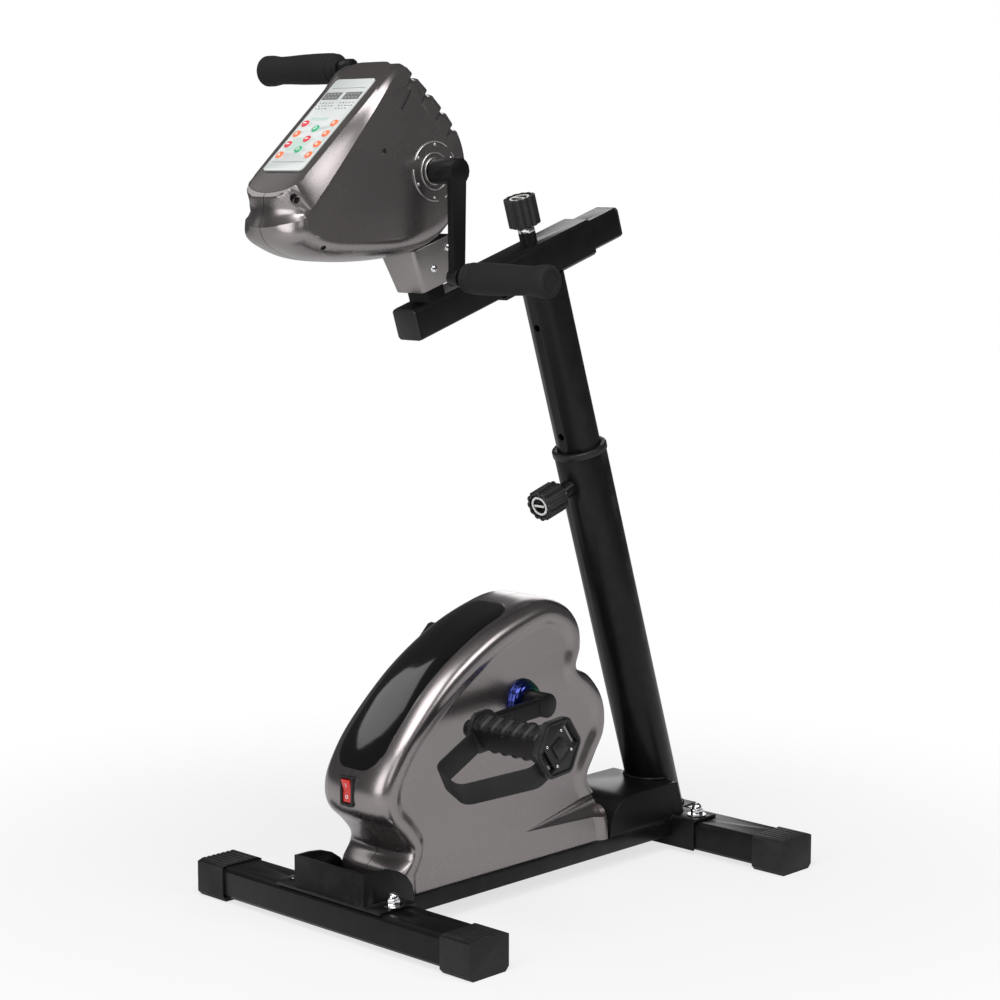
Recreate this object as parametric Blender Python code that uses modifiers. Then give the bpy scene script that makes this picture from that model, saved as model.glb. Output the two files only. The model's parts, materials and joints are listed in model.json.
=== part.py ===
"""Electric rehabilitation mini bike.

Two stabilisers carry a low rail. A motor-driven pedal crank turns in a moulded
housing on the rail, and a telescopic mast behind it holds a sliding bar with the
hand-crank head. Metres, +Z up, +X to the user's right, -Y towards the user.
"""
import math

import bpy
import bmesh
from mathutils import Matrix, Vector

# Clearances
SEAT_GAP = 0.0003        # between pieces that touch
RUNNING_GAP = 0.0006     # round pieces that turn or slide

# Stabilisers
FOOT_LENGTH = 0.420      # over the rubber caps, along X
FOOT_SPACING = 0.500     # front stabiliser centre to rear stabiliser centre
TUBE_DEPTH = 0.052
TUBE_HEIGHT = 0.034
TUBE_WALL = 0.002
CAP_LENGTH = 0.042
CAP_WALL = 0.002         # how far a cap stands proud of its tube
SOLE_THICKNESS = 0.005   # rubber under the tube
CAP_RIBS = 7
RIB_DEPTH = 0.0012

# Rail and brackets
RAIL_HEIGHT = 0.018
RAIL_WALL = 0.003
RAIL_DROP = 0.003        # rail top below the stabilisers' tube top
SHEET = 0.003            # bracket sheet thickness
PLATE_HALF_WIDTH = 0.080
REAR_PLATE_HALF_WIDTH = 0.086
REAR_PLATE_BACK = 0.009  # rear plate's edge behind the rear foot's centre
TONGUE_HALF_WIDTH = 0.034           # the rear plate reaches further back under the mast
TONGUE_BACK = 0.037
BRACKET_HEIGHT = 0.034   # front upstand above the base plate
BRACKET_FLAT = 0.020     # level part of the gusset before its curve
BOLT_X = 0.072           # bolt axes from the middle plane
REAR_BOLT_SHIFT = -0.010            # rear bolts ahead of the rear foot's centre
BOLT_RADIUS = 0.004
NUT_RADIUS = 0.0075
WASHER_RADIUS = 0.011

# Lower housing
HOUSING_HALF_WIDTH = 0.050
HOUSING_WALL = 0.0024
DISH_RIM = 0.004
DISH_SLOPE = 0.008
DISH_DEPTH = 0.0035
PARTING_GAP = 0.0004
PARTING_TRIM = 0.004
FOOT_BOX_RISE = 0.044    # top of the mast foot above the rail
FOOT_BOX_ROUND = 0.039   # curve at the top of its front
FOOT_BOX_BACK = 0.010    # its rear face ahead of the mast's axis

# Mast
MAST_TILT = math.radians(18.0)
MAST_SET_BACK = 0.017    # mast axis at floor level behind the rear foot's centre
MAST_RADIUS = 0.030
MAST_WALL = 0.002
MAST_TOP = 0.500         # along the mast from the floor
INNER_RADIUS = 0.025
INNER_WALL = 0.0025
INNER_BOTTOM = 0.345
COLLAR_FLANGE = 0.008
COLLAR_SPIGOT = 0.016
LOCK_DROP = 0.032        # height lock below the outer mast's top
HEIGHT_STEPS = (0.0, 0.060, 0.190)
REACH_PITCH = 0.025
REACH_HOLES = 5

# Slide bar and its sleeve
BAR_SIZE = 0.034
BAR_WALL = 0.0025
BAR_FRONT = 0.210        # bar ends measured from the mast axis
BAR_REAR = 0.124
BAR_CAP_LIP = 0.003
SLEEVE_RISE = 0.731      # bar axis along the mast from the floor
SLEEVE_WALL = 0.003
SLEEVE_FRONT = 0.077
SLEEVE_REAR = 0.072
REACH_LOCK_STATION = -0.008

# Lock knobs
BOSS_RADIUS = 0.0095
BOSS_LENGTH = 0.012
BARREL_RADIUS = 0.0065
BARREL_SHOW = 0.009
PIN_RADIUS = 0.003
HOLE_RADIUS = 0.0042
KNOB_RADIUS = 0.0180
KNOB_LENGTH = 0.030
KNOB_FLUTES = 12

# Head
POST_STATION = -0.172    # post axis along the bar from the mast axis
POST_SIZE = 0.030
POST_WALL = 0.0025
AXLE_RISE = 0.155        # post axis meets the axle's level, above the bar's axis
AXLE_SET_BACK = 0.006    # upper axle behind the post axis there
NECK_LOW = 0.030         # neck cover ends, above the bar's axis
NECK_HIGH = 0.078
NECK_FOOT = (0.0205, 0.0235)
NECK_HEAD = (0.027, 0.029)
NECK_WALL = 0.002
HEAD_HALF_WIDTH = 0.049
HEAD_WALL = 0.0024
CONSOLE_SLOPE = math.radians(42.1)
CONSOLE_WALL = 0.0022
CONSOLE_HALF_WIDTH = 0.0380
CONSOLE_TOP = 0.097      # from the panel's middle, up and down the slope
CONSOLE_SHOULDER = -0.078
CONSOLE_BOTTOM = -0.0975
CONSOLE_CORNER = 0.022
PANEL_CENTRE = (-0.1115, 0.0445)    # from the upper axle, along Y and Z
PANEL_SIZE = (0.058, 0.136)
PANEL_THICKNESS = 0.0016
KEY_RADIUS = 0.0046
KEY_HEIGHT = 0.0018
KEY_TRAVEL = 0.0004
KEY_COLUMN = 0.0215
KEY_PITCH = 0.0155

# Gearmotors: half-sizes of the gearbox along X, in depth and in height, then the
# radius of the motor and how far it reaches forward
LOWER_DRIVE = (0.034, 0.045, 0.040, 0.030, 0.120)
HEAD_DRIVE = (0.034, 0.028, 0.030, 0.022, 0.075)

# Cranks
LOWER_AXLE_Y = 0.219     # behind the front foot's centre
LOWER_AXLE_RISE = 0.183  # above the rail
CRANK_OUTER = 0.084      # outer face of a crank arm from the middle
ARM_THICKNESS = 0.008
ARM_ROOT = 0.0085        # half-width of an arm beside its bosses
BOSS_OUTER = 0.0135
BOSS_INNER_X = 0.052
AXLE_RADIUS = 0.008
AXLE_COLLAR = 0.0025     # how far the axle is thicker inside its gearbox
SPINDLE_BOSS = 0.0095
SPINDLE_RADIUS = 0.006
SPINDLE_END = 0.194
PEDAL_CRANK = 0.110
PEDAL_DROOP = math.radians(4.1)
HAND_CRANK = 0.107
HUB_HOLE = 0.0125
DOME_RADIUS = 0.021
DOME_HEIGHT = 0.012
DOME_BORE = 0.0145

# Grips, pedals and straps
GRIP_START = 0.092
GRIP_END = 0.211
GRIP_RADIUS = 0.0165
PEDAL_START = 0.092
PEDAL_END = 0.202
PEDAL_TURNS = (math.radians(215.0), math.radians(254.0))    # right and left, from level
PEDAL_CORE = (0.0125, 0.019)
PEDAL_PLATE = 0.007
PEDAL_FLANGE = 0.005
PLATE_RADIUS = 0.033
FLANGE_RADIUS = 0.024
STRAP_TURN = math.radians(-8.0)     # the strap's plane against the pedal body's
STRAP_THICKNESS = 0.0018
STRAP_WIDTH = 0.026
STRAP_ROOT = 0.0175      # legs start this far from the spindle
STRAP_KNEE = 0.036       # the outer leg bends inwards
STRAP_REACH = (0.076, 0.090)        # at the inner leg and at the far corner
STRAP_FRONT = 0.041      # length of the front of the loop, along the spindle
STRAP_CORNERS = (0.012, 0.015, 0.014)
STRAP_SLANT = 0.125      # the outer leg sits lower than the inner one

# Power switch
SWITCH_RISE = 0.114      # above the rail
BEZEL_SIZE = (0.019, 0.033)
BEZEL_DEPTH = 0.012
ROCKER_SIZE = (0.0125, 0.026)
ROCKER_PIN = 0.002       # pivot behind the middle of the rocker's face

# Levels worked out from the sizes above
TUBE_TOP = SOLE_THICKNESS + TUBE_HEIGHT
RAIL_TOP = TUBE_TOP - RAIL_DROP
PLATE_LOW = TUBE_TOP + SEAT_GAP
PLATE_TOP = PLATE_LOW + SHEET
CAP_DEPTH = TUBE_DEPTH + 2 * CAP_WALL
RAIL_HALF_WIDTH = HOUSING_HALF_WIDTH   # the rail's sides are flush with the housing's
LOCK_RISE = MAST_TOP - LOCK_DROP
SLEEVE_INNER = BAR_SIZE / 2 + RUNNING_GAP
SLEEVE_OUTER = SLEEVE_INNER + SLEEVE_WALL

# Housing outline, anticlockwise from the rear foot, seen from +X. Each row is a
# point of the middle plane (behind the front foot's centre, above the rail), the
# matching point of the side face, the share of the half-width that stays flat
# before the edge turns in, and the power of that turn (2 is round).
HOUSING_ROWS = (
    (0.362, -0.026, 0.358, -0.026, 0.60, 2.0),
    (0.362, 0.014, 0.357, 0.014, 0.60, 2.0),
    (0.358, 0.034, 0.351, 0.034, 0.60, 2.0),
    (0.342, 0.056, 0.334, 0.056, 0.60, 2.0),
    (0.329, 0.076, 0.319, 0.080, 0.60, 2.0),
    (0.343, 0.100, 0.331, 0.106, 0.60, 2.0),
    (0.357, 0.124, 0.344, 0.126, 0.60, 2.0),
    (0.360, 0.148, 0.346, 0.146, 0.60, 2.0),
    (0.353, 0.172, 0.340, 0.165, 0.60, 2.0),
    (0.335, 0.194, 0.324, 0.182, 0.60, 2.0),
    (0.311, 0.207, 0.300, 0.205, 0.60, 2.0),
    (0.318, 0.230, 0.304, 0.228, 0.60, 2.0),
    (0.315, 0.256, 0.301, 0.249, 0.60, 2.0),
    (0.297, 0.278, 0.286, 0.264, 0.55, 2.0),
    (0.262, 0.290, 0.258, 0.274, 0.50, 2.0),
    (0.220, 0.285, 0.223, 0.268, 0.40, 2.0),
    (0.162, 0.266, 0.172, 0.249, 0.25, 2.1),
    (0.098, 0.229, 0.111, 0.214, 0.10, 2.2),
    (0.040, 0.175, 0.056, 0.169, 0.00, 2.3),
    (0.011, 0.136, 0.030, 0.134, 0.00, 2.3),
    (0.003, 0.110, 0.022, 0.110, 0.00, 2.3),
    (0.009, 0.088, 0.027, 0.089, 0.00, 2.3),
    (0.029, 0.070, 0.044, 0.070, 0.10, 2.2),
    (0.043, 0.053, 0.055, 0.054, 0.20, 2.0),
    (0.045, 0.041, 0.053, 0.041, 0.20, 2.0),
    (0.030, 0.027, 0.045, 0.026, 0.30, 2.0),
    (0.030, 0.012, 0.044, 0.010, 0.30, 2.0),
    (0.030, -0.026, 0.044, -0.026, 0.30, 2.0),
)
HOUSING_CORNERS = (0, 27)     # the feet, where the outline has an edge
HOUSING_LEVELS = (0.0, 0.52, 0.78, 0.93, 1.0)

# Head outline, the same way round from the nose's lip. Points are measured from
# the upper axle, and each row adds the share of the half-width at that place.
HEAD_ROWS = (
    (-0.1930, -0.0455, -0.1710, -0.0455, 0.22, 1.8, 0.84),
    (-0.1890, -0.0615, -0.1670, -0.0575, 0.20, 2.0, 0.88),
    (-0.1740, -0.0765, -0.1530, -0.0645, 0.14, 2.0, 0.93),
    (-0.1460, -0.0865, -0.1310, -0.0695, 0.15, 2.0, 0.97),
    (-0.1060, -0.0905, -0.0960, -0.0695, 0.15, 2.0, 1.00),
    (-0.0560, -0.0895, -0.0580, -0.0665, 0.15, 2.0, 1.00),
    (-0.0110, -0.0835, -0.0200, -0.0605, 0.20, 2.0, 1.00),
    (0.0200, -0.0695, 0.0100, -0.0485, 0.30, 2.0, 1.00),
    (0.0410, -0.0445, 0.0290, -0.0305, 0.45, 2.0, 1.00),
    (0.0500, -0.0135, 0.0400, -0.0085, 0.55, 2.0, 1.00),
    (0.0495, 0.0135, 0.0400, 0.0135, 0.55, 2.0, 1.00),
    (0.0410, 0.0395, 0.0320, 0.0335, 0.55, 2.0, 1.00),
    (0.0250, 0.0600, 0.0160, 0.0515, 0.55, 2.0, 1.00),
    (0.0045, 0.0785, -0.0040, 0.0695, 0.58, 2.0, 1.00),
    (-0.0160, 0.0945, -0.0240, 0.0865, 0.62, 2.0, 0.98),
    (-0.0315, 0.1055, -0.0370, 0.0995, 0.68, 1.8, 0.96),
    (-0.0460, 0.1037, -0.0490, 0.0985, 0.84, 1.0, 0.96),
    (-0.0860, 0.0675, -0.0836, 0.0575, 0.84, 1.0, 0.97),
    (-0.1360, 0.0224, -0.1280, 0.0055, 0.84, 1.0, 0.97),
    (-0.1700, -0.0084, -0.1600, -0.0325, 0.88, 1.0, 0.93),
    (-0.1820, -0.0192, -0.1650, -0.0375, 0.62, 1.2, 0.88),
    (-0.1880, -0.0246, -0.1675, -0.0405, 0.34, 1.4, 0.86),
    (-0.1900, -0.0335, -0.1695, -0.0430, 0.28, 1.6, 0.85),
)
HEAD_CORNERS = (0, 15, 21)    # rows where the outline has an edge
HEAD_LEVELS = (0.0, 0.50, 0.82, 0.94, 1.0)
NOSE_REACH = 0.1926      # how far the lip lies ahead of the upper axle

LOUVRES = 4
LOUVRE_START = (-0.016, 0.094)      # first slot, measured as the outlines are
LOUVRE_PITCH = (0.0165, -0.0155)
LOUVRE_GAP = 0.0025
LOUVRE_REACH = 0.033                # half-length of a slot, across the head

# The gloss cover follows the housing between these two points, which are measured
# as the outline is.
COVER_ENDS = ((0.222, 0.286), (0.010, 0.140))
COVER_SHARE = 0.66
COVER_WALL = 0.0022
PATCH_ROUND = 0.028
PATCH_STATIONS = 14
PATCH_COLUMNS = 4
LEAST_BOW = 0.0009       # between two rows, a point that bows out less is left out

# The origin stands on the floor midway between the nose and the rear plate's tongue.
AXLE_STATION_Y = (
    FOOT_SPACING + MAST_SET_BACK
    - SLEEVE_RISE * math.sin(MAST_TILT)
    + POST_STATION * math.cos(MAST_TILT)
    - AXLE_RISE * math.sin(MAST_TILT)
    + AXLE_SET_BACK
)
FRONT_FOOT_Y = -(FOOT_SPACING + TONGUE_BACK + AXLE_STATION_Y - NOSE_REACH) / 2
REAR_FOOT_Y = FRONT_FOOT_Y + FOOT_SPACING
REAR_BOLT_Y = REAR_FOOT_Y + REAR_BOLT_SHIFT

# Local frames: +Z up the mast, +Y back along the bar
MAST_FRAME = (
    Matrix.Translation((0.0, REAR_FOOT_Y + MAST_SET_BACK, 0.0))
    @ Matrix.Rotation(MAST_TILT, 4, "X")
)
BAR_FRAME = MAST_FRAME @ Matrix.Translation((0.0, 0.0, SLEEVE_RISE))
UPPER_AXLE = BAR_FRAME @ Vector((0.0, POST_STATION, AXLE_RISE)) + Vector((0.0, AXLE_SET_BACK, 0.0))
LOWER_AXLE = Vector((0.0, FRONT_FOOT_Y + LOWER_AXLE_Y, RAIL_TOP + LOWER_AXLE_RISE))
HEAD_FRAME = Matrix.Translation(UPPER_AXLE)
HOUSING_FRAME = Matrix.Translation((0.0, FRONT_FOOT_Y, RAIL_TOP))
PANEL_FRAME = (
    Matrix.Translation(UPPER_AXLE + Vector((0.0, *PANEL_CENTRE)))
    @ Matrix.Rotation(CONSOLE_SLOPE, 4, "X")
)
# Outlines drawn in X and Y stand up in the Y-Z plane and gain thickness along X.
ACROSS = Matrix(((0, 0, 1, 0), (1, 0, 0, 0), (0, 1, 0, 0), (0, 0, 0, 1)))
# Outlines drawn in X and Y stand up in the X-Z plane and gain thickness along -Y.
UPRIGHT = Matrix.Rotation(math.pi / 2, 4, "X")
IDENTITY = Matrix.Identity(4)
LOUVRE_TURN = Matrix.Rotation(math.atan2(LOUVRE_PITCH[0], -LOUVRE_PITCH[1]), 4, "X")

PIECES = None
CUTTERS = None
MATERIALS = {}


def clear_scene():
    for obj in list(bpy.data.objects):
        bpy.data.objects.remove(obj)


def make_collection(name):
    collection = bpy.data.collections.new(name)
    bpy.context.scene.collection.children.link(collection)
    return collection


def make_material(name, colour, roughness, metallic=0.0):
    material = bpy.data.materials.new(name)
    material.use_nodes = True
    shader = material.node_tree.nodes["Principled BSDF"]
    shader.inputs["Base Color"].default_value = (*colour, 1.0)
    shader.inputs["Roughness"].default_value = roughness
    shader.inputs["Metallic"].default_value = metallic
    MATERIALS[name] = material


def make_materials():
    make_material("black_paint", (0.012, 0.012, 0.013), 0.42)
    make_material("silver_shell", (0.36, 0.34, 0.35), 0.32, 0.8)
    make_material("gloss_black", (0.006, 0.006, 0.007), 0.08)
    make_material("dark_console", (0.05, 0.047, 0.046), 0.35)
    make_material("black_rubber", (0.015, 0.015, 0.016), 0.75)
    make_material("black_plastic", (0.018, 0.018, 0.019), 0.45)
    make_material("grip_foam", (0.03, 0.03, 0.031), 0.85)
    make_material("chrome", (0.80, 0.80, 0.82), 0.12, 1.0)
    make_material("steel", (0.45, 0.45, 0.46), 0.35, 1.0)
    make_material("blue_dome", (0.02, 0.09, 0.30), 0.10, 0.9)
    make_material("white_panel", (0.72, 0.76, 0.75), 0.35)
    make_material("key_red", (0.80, 0.10, 0.08), 0.40)
    make_material("key_orange", (0.90, 0.32, 0.16), 0.40)
    make_material("key_green", (0.10, 0.55, 0.30), 0.40)
    make_material("switch_red", (0.75, 0.02, 0.02), 0.25)
    make_material("cast_metal", (0.30, 0.30, 0.31), 0.50, 0.6)


def add_piece(name, mesh, finish, frame=IDENTITY):
    mesh.name = name
    mesh.materials.clear()
    mesh.materials.append(MATERIALS[finish])
    piece = bpy.data.objects.new(name, mesh)
    PIECES.objects.link(piece)
    piece.matrix_world = frame
    return piece


def smooth(piece, degrees=35.0):
    piece.data.shade_smooth()
    piece.data.set_sharp_from_angle(angle=math.radians(degrees))


def mesh_of(bm, name):
    mesh = bpy.data.meshes.new(name)
    bm.to_mesh(mesh)
    bm.free()
    return mesh


def box_mesh(low, high):
    low, high = Vector(low), Vector(high)
    size = high - low
    bm = bmesh.new()
    bmesh.ops.create_cube(
        bm, size=1.0, matrix=Matrix.Translation((low + high) / 2) @ Matrix.Diagonal((*size, 1.0)))
    return mesh_of(bm, "box")


def rod_mesh(radius, start, end, segments, end_radius=None):
    """A cylinder or cone along local Z from start to end."""
    bm = bmesh.new()
    bmesh.ops.create_cone(
        bm, cap_ends=True, segments=segments, radius1=radius,
        radius2=radius if end_radius is None else end_radius, depth=end - start,
        matrix=Matrix.Translation((0.0, 0.0, (start + end) / 2)))
    return mesh_of(bm, "rod")


def outline_mesh(outlines, thickness):
    """A flat outline, with any holes, as a slab about local Z = 0."""
    curve = bpy.data.curves.new("outline", "CURVE")
    curve.dimensions = "2D"
    curve.fill_mode = "BOTH"
    curve.extrude = thickness / 2
    for outline in outlines:
        spline = curve.splines.new("POLY")
        spline.points.add(len(outline) - 1)
        for point, (x, y) in zip(spline.points, outline):
            point.co = (x, y, 0.0, 1.0)
        spline.use_cyclic_u = True
    guide = bpy.data.objects.new("outline", curve)
    bpy.context.scene.collection.objects.link(guide)
    graph = bpy.context.evaluated_depsgraph_get()
    mesh = bpy.data.meshes.new_from_object(guide.evaluated_get(graph))
    bpy.data.objects.remove(guide)
    bm = bmesh.new()
    bm.from_mesh(mesh)
    bmesh.ops.remove_doubles(bm, verts=bm.verts, dist=0.00001)
    bmesh.ops.recalc_face_normals(bm, faces=bm.faces)
    bm.to_mesh(mesh)
    bm.free()
    return mesh


def arc(centre, radius, start, end, steps):
    """Points of an arc, in degrees, both ends included."""
    points = []
    for step in range(steps + 1):
        angle = math.radians(start + (end - start) * step / steps)
        points.append((centre[0] + radius * math.cos(angle), centre[1] + radius * math.sin(angle)))
    return points


def circle(centre, radius, steps):
    return arc(centre, radius, 0.0, 360.0 * (steps - 1) / steps, steps - 1)


def rounded_box(half_x, half_y, corner, steps=3):
    points = []
    for quarter, (sign_x, sign_y) in enumerate(((1, 1), (-1, 1), (-1, -1), (1, -1))):
        centre = (sign_x * (half_x - corner), sign_y * (half_y - corner))
        points += arc(centre, corner, 90.0 * quarter, 90.0 * (quarter + 1), steps)
    return points


def turned_piece(name, profile, finish, frame, steps=24, closed=False):
    """A profile of (radius, height) pairs turned about local Z by a Screw modifier."""
    edges = [(i, i + 1) for i in range(len(profile) - 1)]
    if closed:
        edges.append((len(profile) - 1, 0))
    mesh = bpy.data.meshes.new(name)
    mesh.from_pydata([(radius, 0.0, height) for radius, height in profile], edges, [])
    piece = add_piece(name, mesh, finish, frame)
    screw = piece.modifiers.new("Turn", "SCREW")
    screw.axis = "Z"
    screw.angle = 2 * math.pi
    screw.steps = steps
    screw.render_steps = steps
    screw.use_merge_vertices = True
    screw.merge_threshold = 0.00001
    screw.use_smooth_shade = False
    return piece


def combine(piece, mesh, frame, operation, label):
    """Cut a mesh from a piece, or weld it on, with a Boolean modifier."""
    tool = bpy.data.objects.new(piece.name + "_" + label, mesh)
    CUTTERS.objects.link(tool)
    tool.matrix_world = frame
    tool.hide_render = True
    tool.display_type = "WIRE"
    boolean = piece.modifiers.new(label, "BOOLEAN")
    boolean.operation = operation
    boolean.solver = "EXACT"
    boolean.object = tool
    return tool


def cut(piece, mesh, frame, label):
    return combine(piece, mesh, frame, "DIFFERENCE", label)


def weld(piece, mesh, frame, label):
    return combine(piece, mesh, frame, "UNION", label)


def along_x(centre, side=1):
    """A frame whose +Z points out of the given side, along X."""
    return Matrix.Translation(centre) @ Matrix.Rotation(side * math.pi / 2, 4, "Y")


def make_axis(name, place, pieces):
    """An empty on a joint's axis that carries the pieces of its moving body."""
    axis = bpy.data.objects.new(name, None)
    axis.empty_display_size = 0.03
    PIECES.objects.link(axis)
    axis.location = place
    for piece in pieces:
        piece.parent = axis
        piece.matrix_parent_inverse = Matrix.Translation(-Vector(place))
    return axis


def side_name(side):
    return "right" if side > 0 else "left"


# Stabilisers and their rubber caps

def bolt_place(side, bolt_y):
    return Matrix.Translation((side * BOLT_X, bolt_y, 0.0))


def stabiliser(name, centre_y, bolt_y):
    length = FOOT_LENGTH - 2 * CAP_WALL - 2 * SEAT_GAP
    half_depth, half_height = TUBE_DEPTH / 2, TUBE_HEIGHT / 2
    rings = [
        rounded_box(half_depth, half_height, 0.004, 1),
        rounded_box(half_depth - TUBE_WALL, half_height - TUBE_WALL, 0.0015, 1),
    ]
    middle = (0.0, centre_y, SOLE_THICKNESS + half_height)
    tube = add_piece(
        name, outline_mesh(rings, length), "black_paint", Matrix.Translation(middle) @ ACROSS)
    for side in (1, -1):
        cut(tube, rod_mesh(BOLT_RADIUS + SEAT_GAP, 0.0, PLATE_TOP, 10), bolt_place(side, bolt_y),
            "bolt_hole_" + side_name(side))
    return tube


def ribbed_outline():
    """The cap's end seen along X: a box with grooves across its top."""
    half, corner = CAP_DEPTH / 2, 0.005
    top = SOLE_THICKNESS + TUBE_HEIGHT + CAP_WALL
    low = [(-half, corner), (-half + corner, 0.0), (half - corner, 0.0), (half, corner)]
    pitch = (CAP_DEPTH - 2 * corner) / CAP_RIBS
    upper = [(half, top - corner / 2)]
    for rib in range(CAP_RIBS):
        right = half - corner - rib * pitch
        left = right - pitch
        upper += [(right - 0.1 * pitch, top), (left + 0.3 * pitch, top),
                  (left + 0.2 * pitch, top - RIB_DEPTH)]
    upper[-1:] = [(-half, top - corner / 2)]
    return low + upper


def foot_cap(name, side, centre_y):
    inner_x = FOOT_LENGTH / 2 - CAP_LENGTH
    middle = (side * (inner_x + CAP_LENGTH / 2), centre_y, 0.0)
    cap = add_piece(
        name, outline_mesh([ribbed_outline()], CAP_LENGTH), "black_rubber",
        Matrix.Translation(middle) @ ACROSS)
    half_depth = TUBE_DEPTH / 2 + SEAT_GAP
    pocket_end = FOOT_LENGTH / 2 - CAP_WALL
    pocket = box_mesh(
        (min(side * (inner_x - 0.01), side * pocket_end), -half_depth, SOLE_THICKNESS - SEAT_GAP),
        (max(side * (inner_x - 0.01), side * pocket_end), half_depth, TUBE_TOP + SEAT_GAP))
    cut(cap, pocket, Matrix.Translation((0.0, centre_y, 0.0)), "tube_pocket")
    return cap


def foot_bolt(name, side, bolt_y):
    """A carriage bolt, its flange washer and its domed nut, seen as one turned form."""
    washer, nut = 0.0015, 0.006
    dome_low = PLATE_TOP + SEAT_GAP + washer + nut
    head_top = SOLE_THICKNESS - SEAT_GAP
    profile = [(0.0, dome_low + 0.0055), (0.0035, dome_low + 0.0045), (0.0058, dome_low),
               (NUT_RADIUS, dome_low - 0.0005),
               (NUT_RADIUS, dome_low - nut + 0.0008), (WASHER_RADIUS, dome_low - nut),
               (WASHER_RADIUS, PLATE_TOP + SEAT_GAP), (BOLT_RADIUS, PLATE_TOP + SEAT_GAP),
               (BOLT_RADIUS, head_top), (BOLT_RADIUS + 0.004, head_top), (0.0, head_top - 0.003)]
    bolt = turned_piece(name, profile, "chrome", bolt_place(side, bolt_y), steps=10)
    smooth(bolt, 30.0)
    return bolt


def make_feet():
    for label, centre_y, bolt_y in (("front", FRONT_FOOT_Y, FRONT_FOOT_Y),
                                    ("rear", REAR_FOOT_Y, REAR_BOLT_Y)):
        stabiliser(label + "_stabiliser", centre_y, bolt_y)
        for side in (1, -1):
            foot_cap("cap_%s_%s" % (label, side_name(side)), side, centre_y)
            foot_bolt("bolt_%s_%s" % (label, side_name(side)), side, bolt_y)


# Rail and brackets

HOUSING_REAR = FRONT_FOOT_Y + HOUSING_ROWS[0][0]
RAIL_FRONT = FRONT_FOOT_Y + TUBE_DEPTH / 2 + SEAT_GAP
SKIRT_FRONT = REAR_FOOT_Y - TUBE_DEPTH / 2 - SEAT_GAP - SHEET
FOOT_BOX_FRONT = HOUSING_REAR + RUNNING_GAP
FOOT_BOX_TOP = RAIL_TOP + FOOT_BOX_RISE


def base_rail():
    """A shallow channel, open below, from the front tube to the rear bracket."""
    half, low = RAIL_HALF_WIDTH, RAIL_TOP - RAIL_HEIGHT
    section = [(-half, low), (-half + RAIL_WALL, low), (-half + RAIL_WALL, RAIL_TOP - RAIL_WALL),
               (half - RAIL_WALL, RAIL_TOP - RAIL_WALL), (half - RAIL_WALL, low), (half, low),
               (half, RAIL_TOP - 0.001), (half - 0.001, RAIL_TOP),
               (-half + 0.001, RAIL_TOP), (-half, RAIL_TOP - 0.001)]
    rear = SKIRT_FRONT - SEAT_GAP
    middle = Matrix.Translation((0.0, (RAIL_FRONT + rear) / 2, 0.0))
    return add_piece("base_rail", outline_mesh([section], rear - RAIL_FRONT), "black_paint",
                     middle @ UPRIGHT)


def front_bracket():
    """Base plate on the front tube with a three-sided upstand round the housing's toe."""
    front = FRONT_FOOT_Y - TUBE_DEPTH / 2 + 0.002
    half = RAIL_HALF_WIDTH + SHEET + SEAT_GAP
    rear = RAIL_FRONT + 0.022
    top = PLATE_TOP + BRACKET_HEIGHT
    curve_start = front + BRACKET_FLAT
    curve_radius = rear - curve_start
    cheek = [(front, PLATE_TOP - SHEET), (RAIL_FRONT, PLATE_TOP - SHEET),
             (RAIL_FRONT, RAIL_TOP - RAIL_HEIGHT), (rear, RAIL_TOP - RAIL_HEIGHT)]
    fall = top - (RAIL_TOP + 0.004)
    for step in range(6):
        angle = math.radians(90.0 * step / 5)
        cheek.append((curve_start + curve_radius * math.cos(angle),
                      top - fall + fall * math.sin(angle)))
    cheek.append((front, top))
    bracket = add_piece("front_bracket", outline_mesh([cheek], 2 * half), "black_paint", ACROSS)
    cut(bracket, box_mesh((-half + SHEET, front + SHEET, RAIL_TOP - RAIL_HEIGHT - 0.01),
                          (half - SHEET, rear + 0.01, top + 0.01)), IDENTITY, "inside")
    plate = box_mesh((-PLATE_HALF_WIDTH, FRONT_FOOT_Y - TUBE_DEPTH / 2, PLATE_LOW),
                     (PLATE_HALF_WIDTH, FRONT_FOOT_Y + TUBE_DEPTH / 2, PLATE_TOP))
    weld(bracket, plate, IDENTITY, "base_plate")
    drill_bolt_holes(bracket, FRONT_FOOT_Y)
    return bracket


def drill_bolt_holes(bracket, bolt_y):
    for side in (1, -1):
        cut(bracket, rod_mesh(BOLT_RADIUS + SEAT_GAP, PLATE_LOW - 0.002, PLATE_TOP + 0.002, 10),
            bolt_place(side, bolt_y), "bolt_hole_" + side_name(side))


def mast_y(height):
    """Where the mast's axis stands at a height above the floor."""
    return REAR_FOOT_Y + MAST_SET_BACK - height * math.tan(MAST_TILT)


def foot_box_side(low, wall):
    """Side view of the mast foot's box, drawn a wall's thickness smaller all round."""
    top = FOOT_BOX_TOP - wall
    curve_low = FOOT_BOX_TOP - FOOT_BOX_ROUND
    points = [(FOOT_BOX_FRONT + wall, low), (mast_y(low) - FOOT_BOX_BACK - wall, low),
              (mast_y(top) - FOOT_BOX_BACK - wall, top)]
    for step in range(6):
        angle = math.radians(90.0 + 18.0 * step)
        points.append((FOOT_BOX_FRONT + FOOT_BOX_ROUND + (FOOT_BOX_ROUND - wall) * math.cos(angle),
                       curve_low + (FOOT_BOX_ROUND - wall) * math.sin(angle)))
    return points


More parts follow.
